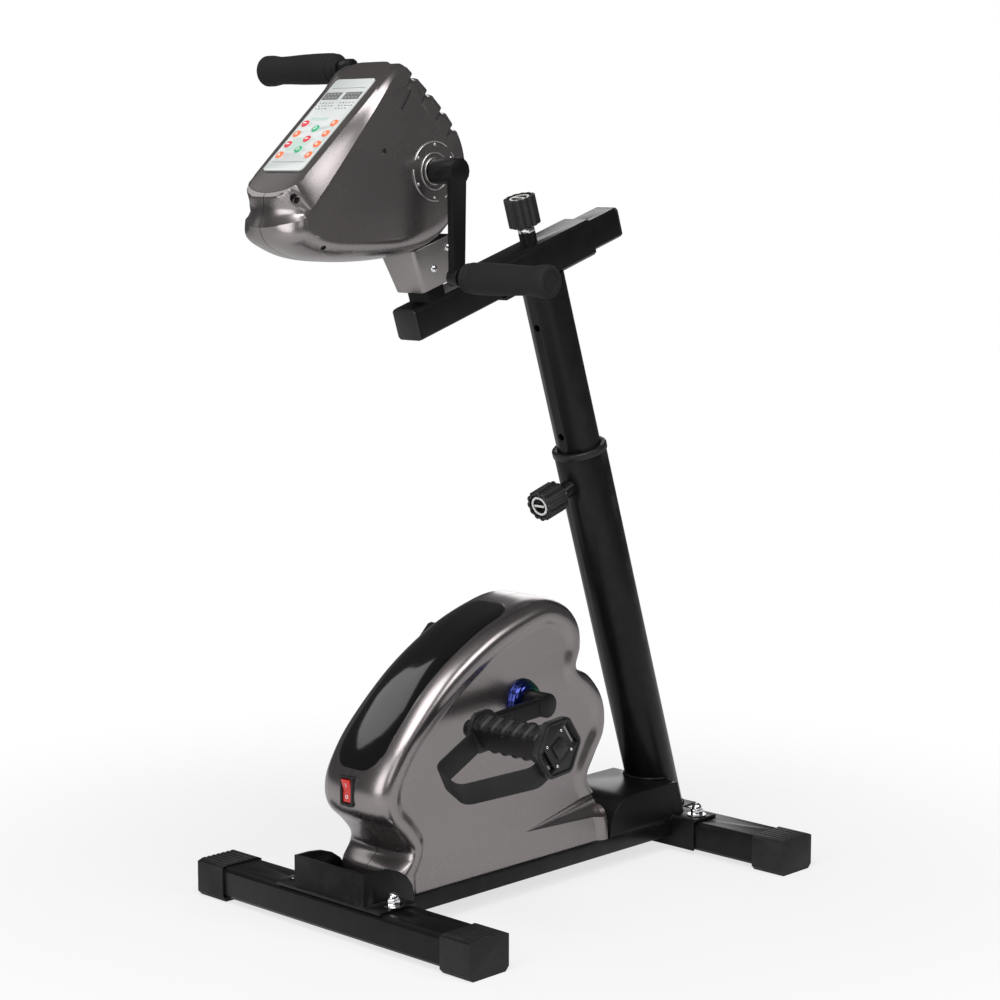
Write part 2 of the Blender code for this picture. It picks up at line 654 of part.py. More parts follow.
def mast_foot():
    """Angle plate over the rear tube, with the box that braces the mast's foot."""
    half = RAIL_HALF_WIDTH
    foot = add_piece("mast_foot", outline_mesh([foot_box_side(PLATE_LOW, 0.0)], 2 * half),
                     "black_paint", ACROSS)
    cut(foot, outline_mesh([foot_box_side(PLATE_LOW - 0.01, SHEET)], 2 * (half - SHEET)), ACROSS,
        "inside")
    cut(foot, rod_mesh(MAST_RADIUS + SEAT_GAP, 0.0, 0.2, 24), MAST_FRAME, "mast_hole")
    for side in (1, -1):
        low, high = sorted((side * (half - SHEET), side * half))
        weld(foot, box_mesh((low, FOOT_BOX_FRONT, RAIL_TOP + SEAT_GAP),
                            (high, SKIRT_FRONT + SHEET, PLATE_LOW + 0.001)), IDENTITY,
             "cheek_" + side_name(side))
    weld(foot, box_mesh((-REAR_PLATE_HALF_WIDTH, SKIRT_FRONT, PLATE_LOW),
                        (REAR_PLATE_HALF_WIDTH, REAR_FOOT_Y + REAR_PLATE_BACK, PLATE_TOP)),
         IDENTITY, "base_plate")
    weld(foot, box_mesh((-TONGUE_HALF_WIDTH, REAR_FOOT_Y, PLATE_LOW),
                        (TONGUE_HALF_WIDTH, REAR_FOOT_Y + TONGUE_BACK, PLATE_TOP)),
         IDENTITY, "tongue")
    weld(foot, box_mesh((-REAR_PLATE_HALF_WIDTH + SHEET, SKIRT_FRONT, SOLE_THICKNESS),
                        (REAR_PLATE_HALF_WIDTH - SHEET, SKIRT_FRONT + SHEET, PLATE_LOW + 0.001)),
         IDENTITY, "skirt")
    drill_bolt_holes(foot, REAR_BOLT_Y)
    return foot


# Moulded shells

def smooth_rows(rows, steps, corners=()):
    """Points of a closed Catmull-Rom curve through the rows, all columns alike."""
    count = len(rows)
    result = []
    for index in range(count):
        before, start, end, after = (rows[(index + offset) % count] for offset in (-1, 0, 1, 2))
        if index in corners:
            before = start
        if (index + 1) % count in corners:
            after = end
        for step in range(steps):
            t = step / steps
            result.append(tuple(
                0.5 * (2 * b + (c - a) * t + (2 * a - 5 * b + 4 * c - d) * t * t
                       + (3 * b - a - 3 * c + d) * t ** 3)
                for a, b, c, d in zip(before, start, end, after)))
    return result


def bow_at(row, before, after):
    """How far the outer and side outlines bow out from a chord past a row, the larger one."""
    bows = []
    for y, z in ((0, 1), (2, 3)):
        chord = Vector((after[y] - before[y], after[z] - before[z]))
        arm = Vector((row[y] - before[y], row[z] - before[z]))
        bows.append(abs(chord.x * arm.y - chord.y * arm.x) / chord.length)
    return max(bows)


def shell_rows(rows, corners=()):
    """Rows with a point between each two, where the outline bows out there."""
    fine = smooth_rows(rows, 2, corners)
    count = len(fine)
    return [row for index, row in enumerate(fine)
            if index % 2 == 0 or bow_at(row, fine[index - 1], fine[(index + 1) % count]) > LEAST_BOW]


def skin_point(row, level, half_width):
    """A point of the moulded skin: level 0 is the middle plane and 1 the side face."""
    outer_y, outer_z, side_y, side_z, flat, power = row[:6]
    width = half_width * (row[6] if len(row) > 6 else 1.0)
    reach = max(0.0, (level - max(flat, 0.0)) / (1.0 - max(flat, 0.0)))
    inset = 1.0 - max(0.0, 1.0 - reach ** power) ** (1.0 / power)
    return (level * width, outer_y + (side_y - outer_y) * inset,
            outer_z + (side_z - outer_z) * inset)


def inward(ring, distance, drop):
    """Move a flat ring's points to its inside by a distance, and towards the middle plane."""
    count = len(ring)
    moved = []
    for index, (x, y, z) in enumerate(ring):
        _, y_before, z_before = ring[index - 1]
        _, y_after, z_after = ring[(index + 1) % count]
        along = Vector((y_after - y_before, z_after - z_before)).normalized()
        moved.append((x - drop, y - distance * along.y, z + distance * along.x))
    return moved


def moulded_half(name, side, rows, half_width, levels, dish, wall, finish, frame):
    """Half a two-part housing: an open skin from the parting plane to the side face."""
    rings = [[skin_point(row, level, half_width) for row in rows] for level in levels]
    # The skin starts past the middle and is trimmed to the parting plane below.
    rings[0] = [(-PARTING_TRIM, y, z) for _, y, z in rings[0]]
    for distance, drop in dish:
        rings.append(inward(rings[-1], distance, drop))
    bm = bmesh.new()
    loops = [[bm.verts.new((side * x, y, z)) for x, y, z in ring] for ring in rings]
    count = len(rows)
    for inner, outer in zip(loops, loops[1:]):
        for index in range(count):
            following = (index + 1) % count
            face = [inner[index], inner[following], outer[following], outer[index]]
            bm.faces.new(face if side > 0 else face[::-1])
    bm.faces.new(loops[-1] if side > 0 else loops[-1][::-1])
    shell = add_piece(name, mesh_of(bm, name), finish, frame)
    thicken(shell, wall, -1.0)
    shell.modifiers.new("Flat faces", "TRIANGULATE")
    low, high = sorted((-side * 2 * PARTING_TRIM, side * PARTING_GAP / 2))
    span = 1.2 * max(abs(place) for row in rows for place in row[:2])
    cut(shell, box_mesh((low, -span, -span), (high, span, span)), frame, "parting")
    return shell


def trim_below(piece, height):
    bm = bmesh.new()
    bm.from_mesh(piece.data)
    bmesh.ops.bisect_plane(
        bm, geom=bm.verts[:] + bm.edges[:] + bm.faces[:], plane_co=(0.0, 0.0, height),
        plane_no=(0.0, 0.0, -1.0), clear_outer=True)
    bm.to_mesh(piece.data)
    bm.free()


def row_between(rows, lengths, distance):
    """The skin's row at a distance along the middle outline."""
    index = 0
    while index < len(lengths) - 2 and lengths[index + 1] < distance:
        index += 1
    share = (distance - lengths[index]) / (lengths[index + 1] - lengths[index])
    return tuple(a + (b - a) * share for a, b in zip(rows[index], rows[index + 1]))


def skin_patch(rows, margin):
    """The cover's strip of the housing skin, with round ends, as an open sheet."""
    def nearest(place):
        return min(range(len(rows)), key=lambda i: math.dist(rows[i][:2], place))

    first, last = (nearest(end) for end in COVER_ENDS)
    strip = rows[first - 4:last + 5]
    lengths = [0.0]
    for before, after in zip(strip, strip[1:]):
        lengths.append(lengths[-1] + math.dist(before[:2], after[:2]))
    start = lengths[4] - margin
    total = lengths[-5] + margin - start
    patch_round = PATCH_ROUND + margin
    bm = bmesh.new()
    grid = []
    for station in range(PATCH_STATIONS + 1):
        turn = math.cos(math.pi * station / PATCH_STATIONS)
        distance = total * (1.0 - turn) / 2
        edge = min(distance, total - distance) / patch_round
        narrow = 1.0 if edge >= 1.0 else 0.35 + 0.65 * math.sqrt(1.0 - (1.0 - edge) ** 2)
        row = row_between(strip, lengths, start + distance)
        line = []
        for column in range(-PATCH_COLUMNS // 2, PATCH_COLUMNS // 2 + 1):
            level = COVER_SHARE + margin / HOUSING_HALF_WIDTH
            level *= narrow * column / (PATCH_COLUMNS / 2)
            x, y, z = skin_point(row, abs(level), HOUSING_HALF_WIDTH)
            line.append(bm.verts.new((math.copysign(x, level), y, z)))
        grid.append(line)
    for line, following in zip(grid, grid[1:]):
        for column in range(PATCH_COLUMNS):
            bm.faces.new((line[column + 1], line[column], following[column], following[column + 1]))
    return mesh_of(bm, "patch")


def thicken(piece, thickness, offset):
    solidify = piece.modifiers.new("Wall", "SOLIDIFY")
    solidify.thickness = thickness
    solidify.offset = offset
    solidify.use_even_offset = True


def make_cover(shells):
    """Gloss cover that follows the housing's top, in an opening cut to suit it."""
    rows = smooth_rows(HOUSING_ROWS, 6, HOUSING_CORNERS)
    cover = add_piece("housing_top_cover", skin_patch(rows, 0.0), "gloss_black", HOUSING_FRAME)
    thicken(cover, COVER_WALL, -1.0)
    smooth(cover, 40.0)
    for shell in shells:
        opening = cut(shell, skin_patch(rows, SEAT_GAP), HOUSING_FRAME, "cover_opening")
        # It reaches 2 mm outside the skin and well past the wall inside.
        thicken(opening, COVER_WALL + 0.0045, -0.40)
    return cover


def make_housing():
    rows = shell_rows(HOUSING_ROWS, HOUSING_CORNERS)
    halves = []
    for side in (1, -1):
        half = moulded_half(
            "housing_" + side_name(side), side, rows, HOUSING_HALF_WIDTH, HOUSING_LEVELS,
            ((DISH_RIM, 0.0), (DISH_SLOPE, DISH_DEPTH)), HOUSING_WALL, "silver_shell",
            HOUSING_FRAME)
        trim_below(half, SEAT_GAP)
        smooth(half, 40.0)
        halves.append(half)
    make_cover(halves)
    opening = box_mesh((-BEZEL_SIZE[0] / 2 - SEAT_GAP, -0.01, -BEZEL_SIZE[1] / 2 - SEAT_GAP),
                       (BEZEL_SIZE[0] / 2 + SEAT_GAP, 0.02, BEZEL_SIZE[1] / 2 + SEAT_GAP))
    switch = Matrix.Translation(switch_centre())
    for half, side in zip(halves, (1, -1)):
        cut(half, rod_mesh(HUB_HOLE, 0.03, 0.07, 16), along_x(LOWER_AXLE, side), "axle_hole")
        cut(half, opening.copy(), switch, "switch_opening")
    return halves


def switch_centre():
    """Where the switch sits: on the housing's front, at the parting plane."""
    front = min(row[0] for row in smooth_rows(HOUSING_ROWS, 6, HOUSING_CORNERS))
    return Vector((0.0, FRONT_FOOT_Y + front, RAIL_TOP + SWITCH_RISE))


def make_switch():
    half_x, half_z = BEZEL_SIZE[0] / 2, BEZEL_SIZE[1] / 2
    hole_x, hole_z = ROCKER_SIZE[0] / 2 + RUNNING_GAP, ROCKER_SIZE[1] / 2 + RUNNING_GAP
    centre = switch_centre()
    bezel = add_piece(
        "switch_bezel",
        outline_mesh([rounded_box(half_x, half_z, 0.002), rounded_box(hole_x, hole_z, 0.001)],
                     BEZEL_DEPTH),
        "black_plastic",
        Matrix.Translation(centre + Vector((0.0, BEZEL_DEPTH / 2 - 0.0015, 0.0))) @ UPRIGHT)
    half = ROCKER_SIZE[1] / 2
    # The rocker's side view is a shallow V that tips about a pin behind its middle.
    side_view = [(-0.0035, half - 0.0005), (0.0, 0.0), (-0.0005, -half + 0.0005),
                 (0.0065, -half + 0.0015), (0.0075, half - 0.0015)]
    rocker = add_piece("power_switch", outline_mesh([side_view], ROCKER_SIZE[0]), "switch_red",
                       Matrix.Translation(centre) @ ACROSS)
    make_axis("power_switch_axis", centre + Vector((0.0, ROCKER_PIN, 0.0)), [rocker])
    return bezel, rocker


# Cranks

def lobe_outline(radius_root, radius_tip, length):
    """Two circles joined by their tangents, along +X from the first circle."""
    lean = math.degrees(math.acos((radius_root - radius_tip) / length))
    return (arc((0.0, 0.0), radius_root, lean, 360.0 - lean, 6)
            + arc((length, 0.0), radius_tip, -lean, lean, 4))


def crank_arm(name, side, axle, length, direction, finish="black_paint"):
    """Forged arm with a deep hub boss, a spindle boss and the spindle pressed in."""
    turn = Matrix.Rotation(direction, 4, "X")
    middle_x = side * (CRANK_OUTER - ARM_THICKNESS / 2)
    frame = Matrix.Translation((middle_x, axle.y, axle.z)) @ turn @ ACROSS
    arm = add_piece(name, outline_mesh([lobe_outline(ARM_ROOT + 0.0015, ARM_ROOT - 0.0005, length)],
                                       ARM_THICKNESS), finish, frame)
    hub = along_x((0.0, axle.y, axle.z), side)
    weld(arm, rod_mesh(BOSS_OUTER, BOSS_INNER_X, CRANK_OUTER + 0.001, 16), hub, "hub_boss")
    tip = axle + turn @ Vector((0.0, length, 0.0))
    spindle = along_x((0.0, tip.y, tip.z), side)
    weld(arm, rod_mesh(SPINDLE_BOSS, CRANK_OUTER - ARM_THICKNESS - 0.002, CRANK_OUTER + 0.003, 14),
         spindle, "spindle_boss")
    weld(arm, rod_mesh(SPINDLE_RADIUS, CRANK_OUTER - 0.002, SPINDLE_END, 10), spindle, "spindle")
    cut(arm, rod_mesh(AXLE_RADIUS + SEAT_GAP, BOSS_INNER_X - 0.01,
                      CRANK_OUTER - ARM_THICKNESS, 12), hub, "axle_socket")
    smooth(arm)
    return arm, tip


def crank_axle(name, axle):
    end = CRANK_OUTER - ARM_THICKNESS - SEAT_GAP
    return turned_piece(
        name, [(0.0, end), (AXLE_RADIUS - 0.0006, end), (AXLE_RADIUS, end - 0.0006),
               (AXLE_RADIUS, 0.032), (AXLE_RADIUS + AXLE_COLLAR, 0.030),
               (AXLE_RADIUS + AXLE_COLLAR, -0.030),
               (AXLE_RADIUS, -0.032), (AXLE_RADIUS, -end + 0.0006),
               (AXLE_RADIUS - 0.0006, -end), (0.0, -end)],
        "steel", along_x(axle), steps=12)


def hub_dome(name, side):
    """Polished dome over the axle's exit from the housing."""
    seat = HOUSING_HALF_WIDTH - DISH_DEPTH + SEAT_GAP
    profile = []
    for step in range(4):
        angle = math.radians(30.0 * step)
        radius = DOME_BORE + (DOME_RADIUS - DOME_BORE) * math.sin(angle)
        profile.append((radius, seat + DOME_HEIGHT * (0.25 + 0.75 * math.cos(angle))))
    profile += [(DOME_RADIUS, seat), (DOME_RADIUS - 0.002, seat), (DOME_BORE, seat + 0.004)]
    dome = turned_piece(name, profile, "blue_dome", along_x(LOWER_AXLE, side), 16, closed=True)
    smooth(dome, 50.0)
    return dome


def gearmotor(name, frame, axle, sizes):
    """Gearbox round the axle with its motor lying forward, held clear of the shell."""
    half_width, half_y, half_z, motor_radius, motor_front = sizes
    drive = add_piece(name, box_mesh((-half_width, -half_y, -half_z),
                                     (half_width, half_y, half_z)), "cast_metal", frame)
    weld(drive, rod_mesh(motor_radius, 0.0, motor_front, 16),
         frame @ Matrix.Rotation(math.pi / 2, 4, "X"), "motor")
    cut(drive, rod_mesh(AXLE_RADIUS + AXLE_COLLAR + RUNNING_GAP, -half_width - 0.01,
                        half_width + 0.01, 16), along_x(axle), "axle_bore")
    return drive


def grip(name, side, tip):
    """Foam grip on a blind bore, flared at its outer end, with a flush end cap."""
    start, end = GRIP_START, GRIP_END
    profile = [(0.0, end), (GRIP_RADIUS - 0.0030, end), (GRIP_RADIUS, end - 0.004),
               (GRIP_RADIUS, end - 0.014), (GRIP_RADIUS - 0.0020, end - 0.022),
               (GRIP_RADIUS, start + 0.040), (GRIP_RADIUS, start + 0.012),
               (GRIP_RADIUS - 0.0025, start + 0.003), (GRIP_RADIUS - 0.0075, start),
               (SPINDLE_RADIUS + RUNNING_GAP, start),
               (SPINDLE_RADIUS + RUNNING_GAP, SPINDLE_END + 0.001), (0.0, SPINDLE_END + 0.001)]
    piece = turned_piece(name, profile, "grip_foam", along_x((0.0, tip.y, tip.z), side), 16)
    smooth(piece, 40.0)
    return piece


def plate_outline(radius):
    """Six-sided end plate with rounded corners."""
    points = []
    for corner in range(6):
        angle = 60.0 * corner + 30.0
        centre = ((radius - 0.008) * math.cos(math.radians(angle)),
                  (radius - 0.008) * math.sin(math.radians(angle)))
        points += arc(centre, 0.008, angle - 20.0, angle + 20.0, 1)
    return points


def pedal(name, side, tip, turn):
    """Moulded pedal: a ribbed body between an inner flange and a six-sided end plate."""
    turn = Matrix.Translation((0.0, tip.y, tip.z)) @ Matrix.Rotation(turn, 4, "X")

    def slab(outlines, low_x, high_x):
        return (outline_mesh(outlines, high_x - low_x),
                Matrix.Translation((side * (low_x + high_x) / 2, 0.0, 0.0)))

    half_normal, half_tread = PEDAL_CORE
    body_outline = rounded_box(half_normal, half_tread, 0.007, 2)
    mesh, shift = slab([body_outline], PEDAL_START + 0.001, PEDAL_END - 0.001)
    piece = add_piece(name, mesh, "black_plastic", turn @ shift @ ACROSS)
    slot = arc((0.018, 0.0), 0.004, -60.0, 60.0, 1) + arc((-0.018, 0.0), 0.004, 120.0, 240.0, 1)
    slots = []
    for sign in (1, -1):
        slots.append([(sign * 0.0205 + sign * y, x * 0.7) for x, y in slot])
    mesh, shift = slab([plate_outline(PLATE_RADIUS), *slots], PEDAL_END - PEDAL_PLATE, PEDAL_END)
    weld(piece, mesh, turn @ shift @ ACROSS, "end_plate")
    mesh, shift = slab([plate_outline(FLANGE_RADIUS)], PEDAL_START, PEDAL_START + PEDAL_FLANGE)
    weld(piece, mesh, turn @ shift @ ACROSS, "inner_flange")
    for rib in range(4):
        low_x = PEDAL_START + 0.012 + rib * 0.012
        mesh, shift = slab([rounded_box(0.0025, half_tread - 0.004, 0.001, 1)], low_x,
                           low_x + 0.006)
        weld(piece, mesh, turn @ Matrix.Translation((0.0, -half_normal, 0.0)) @ shift @ ACROSS,
             "rib_%d" % rib)
    cut(piece, rod_mesh(SPINDLE_RADIUS + RUNNING_GAP, PEDAL_START - 0.01, SPINDLE_END + 0.001, 14),
        along_x((0.0, tip.y, tip.z), side), "spindle_bore")
    smooth(piece)
    return piece


def fillet(before, corner, after, radius, steps):
    """Points of an arc that rounds a polyline's corner."""
    before, corner, after = Vector(before), Vector(corner), Vector(after)
    coming, going = (corner - before).normalized(), (after - corner).normalized()
    turn = coming.angle_signed(going)
    setback = radius * math.tan(abs(turn) / 2)
    start = corner - coming * setback
    inward_side = Vector((-coming.y, coming.x)) * (1 if turn < 0 else -1)
    centre = start + inward_side * radius
    arm = start - centre
    return [tuple(centre + Matrix.Rotation(-turn * step / steps, 2) @ arm)
            for step in range(steps + 1)]


def strap_outline(offset):
    """The strap's loop seen along its width, moved outwards by an offset."""
    inner_x = PEDAL_START + PEDAL_FLANGE + SEAT_GAP + STRAP_THICKNESS - offset
    outer_x = PEDAL_END - PEDAL_PLATE - SEAT_GAP - STRAP_THICKNESS + offset
    near, far = STRAP_REACH
    path = [(inner_x, STRAP_ROOT), (inner_x, near + offset),
            (inner_x + STRAP_FRONT + offset, far + offset),
            (outer_x, STRAP_KNEE + offset / 2), (outer_x, STRAP_ROOT)]
    points = [path[0]]
    for index, radius in enumerate(STRAP_CORNERS, start=1):
        points += fillet(path[index - 1], path[index], path[index + 1], radius + offset, 4)
    return points + [path[-1]]


def pedal_strap(name, side, tip, turn):
    band = strap_outline(STRAP_THICKNESS) + strap_outline(0.0)[::-1]
    if side < 0:
        band = [(-x, y) for x, y in band[::-1]]
    mesh = outline_mesh([band], STRAP_WIDTH)
    # Slide the band along its own width, more so at the outer leg.
    root = side * (PEDAL_START + PEDAL_FLANGE)
    mesh.transform(Matrix(((1, 0, 0, 0), (0, 1, 0, 0),
                           (side * STRAP_SLANT, 0, 1, -side * STRAP_SLANT * root), (0, 0, 0, 1))))
    # The outline's X runs along the spindle and its Y away from the pedal.
    turn = (Matrix.Translation((0.0, tip.y, tip.z))
            @ Matrix.Rotation(turn + STRAP_TURN, 4, "X"))
    piece = add_piece(name, mesh, "black_rubber", turn)
    smooth(piece)
    return piece


def make_lower_crank():
    droop = {1: math.pi + PEDAL_DROOP, -1: PEDAL_DROOP}
    gearmotor("lower_gearmotor", Matrix.Translation(LOWER_AXLE), LOWER_AXLE, LOWER_DRIVE)
    carried = [crank_axle("lower_axle", LOWER_AXLE)]
    for side, turn in zip((1, -1), PEDAL_TURNS):
        word = side_name(side)
        hub_dome("hub_dome_" + word, side)
        arm, tip = crank_arm("lower_arm_" + word, side, LOWER_AXLE, PEDAL_CRANK, droop[side])
        carried.append(arm)
        pedal_pieces = [pedal("pedal_" + word, side, tip, turn),
                        pedal_strap("pedal_strap_" + word, side, tip, turn)]
        make_axis("pedal_axis_" + word, tip, pedal_pieces)
    make_axis("lower_crank_axis", LOWER_AXLE, carried)


def make_upper_crank():
    hang = {1: -math.pi / 2, -1: math.pi / 2}
    carried = [crank_axle("upper_axle", UPPER_AXLE)]
    for side in (1, -1):
        word = side_name(side)
        arm, tip = crank_arm("upper_arm_" + word, side, UPPER_AXLE, HAND_CRANK, hang[side])
        carried.append(arm)
        make_axis("grip_axis_" + word, tip, [grip("grip_" + word, side, tip)])
    make_axis("upper_crank_axis", UPPER_AXLE, carried)


# Mast, bar and lock knobs

def tube_profile(outer, inner, low, high):
    return [(outer, high), (outer, low), (inner, low), (inner, high)]


def lock_frame_on_mast():
    """+Z points out of the mast towards the user, from the mast's axis."""
    return (MAST_FRAME @ Matrix.Translation((0.0, 0.0, LOCK_RISE))
            @ Matrix.Rotation(math.pi / 2, 4, "X"))


def lock_frame_on_sleeve():
    return BAR_FRAME @ Matrix.Translation((0.0, REACH_LOCK_STATION, 0.0))


def add_lock_boss(piece, frame, surface, wall):
    weld(piece, rod_mesh(BOSS_RADIUS, surface - wall / 2, surface + BOSS_LENGTH, 14), frame,
         "lock_boss")
    cut(piece, rod_mesh(BARREL_RADIUS + RUNNING_GAP, surface - wall - 0.006,
                        surface + BOSS_LENGTH + 0.01, 14), frame, "lock_bore")


def outer_mast():
    mast = turned_piece(
        "outer_mast", tube_profile(MAST_RADIUS, MAST_RADIUS - MAST_WALL, 0.02, MAST_TOP),
        "black_paint", MAST_FRAME, 24, closed=True)
    reach = 2 * MAST_RADIUS
    cut(mast, box_mesh((-reach, mast_y(0.0) - reach, -reach),
                       (reach, mast_y(0.0) + reach, PLATE_TOP + SEAT_GAP)), IDENTITY, "foot_cut")
    add_lock_boss(mast, lock_frame_on_mast(), MAST_RADIUS, MAST_WALL)
    smooth(mast)
    return mast


def mast_collar():
    """Plastic guide bush in the top of the outer tube, with its flange outside."""
    bore = INNER_RADIUS + RUNNING_GAP
    spigot = MAST_RADIUS - MAST_WALL - SEAT_GAP
    flange = MAST_RADIUS + 0.0015
    profile = [(bore, MAST_TOP + COLLAR_FLANGE), (flange - 0.001, MAST_TOP + COLLAR_FLANGE),
               (flange, MAST_TOP + COLLAR_FLANGE - 0.001), (flange, MAST_TOP + SEAT_GAP),
               (spigot, MAST_TOP + SEAT_GAP), (spigot, MAST_TOP + SEAT_GAP - COLLAR_SPIGOT),
               (bore, MAST_TOP + SEAT_GAP - COLLAR_SPIGOT)]
    collar = turned_piece("mast_collar", profile, "black_plastic", MAST_FRAME, 24, closed=True)
    smooth(collar)
    return collar


def inner_mast():
    """Telescopic tube with the bar's square sleeve welded across its top."""
    top = SLEEVE_RISE - SLEEVE_OUTER
    mast = turned_piece(
        "inner_mast", tube_profile(INNER_RADIUS, INNER_RADIUS - INNER_WALL, INNER_BOTTOM,
                                   top + SLEEVE_WALL / 2),
        "black_paint", MAST_FRAME, 24, closed=True)
    rings = [rounded_box(SLEEVE_OUTER, SLEEVE_OUTER, 0.0035, 1),
             rounded_box(SLEEVE_INNER, SLEEVE_INNER, 0.0013, 1)]
    middle = (SLEEVE_REAR - SLEEVE_FRONT) / 2
    weld(mast, outline_mesh(rings, SLEEVE_FRONT + SLEEVE_REAR),
         BAR_FRAME @ Matrix.Translation((0.0, middle, 0.0)) @ UPRIGHT, "bar_sleeve")
    add_lock_boss(mast, lock_frame_on_sleeve(), SLEEVE_OUTER, SLEEVE_WALL)
    for index, step in enumerate(HEIGHT_STEPS):
        cut(mast, rod_mesh(HOLE_RADIUS, INNER_RADIUS - INNER_WALL - 0.004, INNER_RADIUS + 0.004, 10),
            lock_frame_on_mast() @ Matrix.Translation((0.0, step, 0.0)), "height_hole_%d" % index)
    smooth(mast)
    return mast


def slide_bar():
    """Square bar with its hole row on top and the head's post welded near the front."""
    half = BAR_SIZE / 2
    rings = [rounded_box(half, half, 0.003, 1),
             rounded_box(half - BAR_WALL, half - BAR_WALL, 0.0012, 1)]
    middle = (BAR_REAR - BAR_FRONT) / 2
    length = BAR_FRONT + BAR_REAR - 2 * BAR_CAP_LIP - 2 * SEAT_GAP
    bar = add_piece("slide_bar", outline_mesh(rings, length), "black_paint",
                    BAR_FRAME @ Matrix.Translation((0.0, middle, 0.0)) @ UPRIGHT)
    post_half = POST_SIZE / 2
    post = [rounded_box(post_half, post_half, 0.003, 1),
            rounded_box(post_half - POST_WALL, post_half - POST_WALL, 0.0012, 1)]
    low, high = half - BAR_WALL / 2, AXLE_RISE - HEAD_DRIVE[2] - SEAT_GAP
    weld(bar, outline_mesh(post, high - low),
         BAR_FRAME @ Matrix.Translation((0.0, POST_STATION, (low + high) / 2)), "post")
    for index in range(REACH_HOLES):
        shift = (index - REACH_HOLES // 2) * REACH_PITCH
        cut(bar, rod_mesh(HOLE_RADIUS, half - BAR_WALL - 0.004, half + 0.004, 10),
            lock_frame_on_sleeve() @ Matrix.Translation((0.0, shift, 0.0)), "reach_hole_%d" % index)
    smooth(bar)
    return bar


def bar_cap(name, end):
    """Plastic end plug: a lip the size of the bar and a plug inside it."""
    half = BAR_SIZE / 2
    sign = 1 if end > 0 else -1
    lip_inner = end - sign * BAR_CAP_LIP
    plug_end = end - sign * 0.018
    lip = add_piece(
        name, outline_mesh([rounded_box(half, half, 0.003, 1)], BAR_CAP_LIP), "black_plastic",
        BAR_FRAME @ Matrix.Translation((0.0, (end + lip_inner) / 2, 0.0)) @ UPRIGHT)
    inner = half - BAR_WALL - SEAT_GAP
    low, high = sorted((plug_end, lip_inner + sign * BAR_CAP_LIP / 2))
    weld(lip, outline_mesh([rounded_box(inner, inner, 0.002, 1)], high - low),
         BAR_FRAME @ Matrix.Translation((0.0, (low + high) / 2, 0.0)) @ UPRIGHT, "plug")
    return lip


def fluted_outline(radius, flutes):
    points = []
    for step in range(flutes * 3):
        angle = 2 * math.pi * step / (flutes * 3)
        reach = radius - (0.0012 if step % 3 == 2 else 0.0)
        points.append((reach * math.cos(angle), reach * math.sin(angle)))
    return points


def lock_set(name, frame, surface, target):
    """Threaded barrel in the boss and the fluted knob whose pin runs through it."""
    low = surface - 0.002
    show = surface + BOSS_LENGTH + BARREL_SHOW
    bore = PIN_RADIUS + RUNNING_GAP
    barrel = turned_piece(name + "_barrel", tube_profile(BARREL_RADIUS, bore, low, show),
                          "chrome", frame, 14, closed=True)
    smooth(barrel)
    knob_low = show + SEAT_GAP
    knob_frame = frame @ Matrix.Translation((0.0, 0.0, knob_low + KNOB_LENGTH / 2))
    knob = add_piece(name + "_knob", outline_mesh([fluted_outline(KNOB_RADIUS, KNOB_FLUTES)],
                                                  KNOB_LENGTH), "black_plastic", knob_frame)
    weld(knob, rod_mesh(PIN_RADIUS, target + SEAT_GAP, knob_low + 0.005, 12), frame, "pin")
    place = frame @ Vector((0.0, 0.0, surface))
    make_axis(name + "_axis", place, [barrel, knob])
    return barrel, knob


# Head

def neck_cover():
    """Tapered cover over the post, open at both ends."""
    rings = []
    for (half_x, half_y), height in ((NECK_FOOT, NECK_LOW), (NECK_HEAD, NECK_HIGH)):
        rings.append([(x, y, height) for x, y in rounded_box(half_x, half_y, 0.005)])
    bm = bmesh.new()
    low, high = ([bm.verts.new(point) for point in ring] for ring in rings)
    count = len(low)
    for index in range(count):
        following = (index + 1) % count
        bm.faces.new((low[index], low[following], high[following], high[index]))
    cover = add_piece("neck_cover", mesh_of(bm, "neck_cover"), "silver_shell",
                      BAR_FRAME @ Matrix.Translation((0.0, POST_STATION, 0.0)))
    thicken(cover, NECK_WALL, -1.0)
    smooth(cover, 50.0)
    return cover


def console_outline(margin):
    """The console seen square on: round corners above and a shallow bow below."""
    half = CONSOLE_HALF_WIDTH + margin
    corner = CONSOLE_CORNER + margin
    centre_y = CONSOLE_TOP + margin - corner
    points = arc((half - corner, centre_y), corner, 0.0, 90.0, 4)
    points += arc((corner - half, centre_y), corner, 90.0, 180.0, 4)
    drop = CONSOLE_SHOULDER - CONSOLE_BOTTOM + margin
    for step in range(7):
        angle = math.pi * step / 6
        points.append((-half * math.cos(angle), CONSOLE_SHOULDER - drop * math.sin(angle)))
    return points


def make_console(shells):
    middle = PANEL_FRAME @ Matrix.Translation((0.0, 0.0, -CONSOLE_WALL / 2))
    console = add_piece("head_console", outline_mesh([console_outline(0.0)], CONSOLE_WALL),
                        "dark_console", middle)
    for shell in shells:
        cut(shell, outline_mesh([console_outline(SEAT_GAP)], 3 * CONSOLE_WALL), middle,
            "console_opening")
    return console


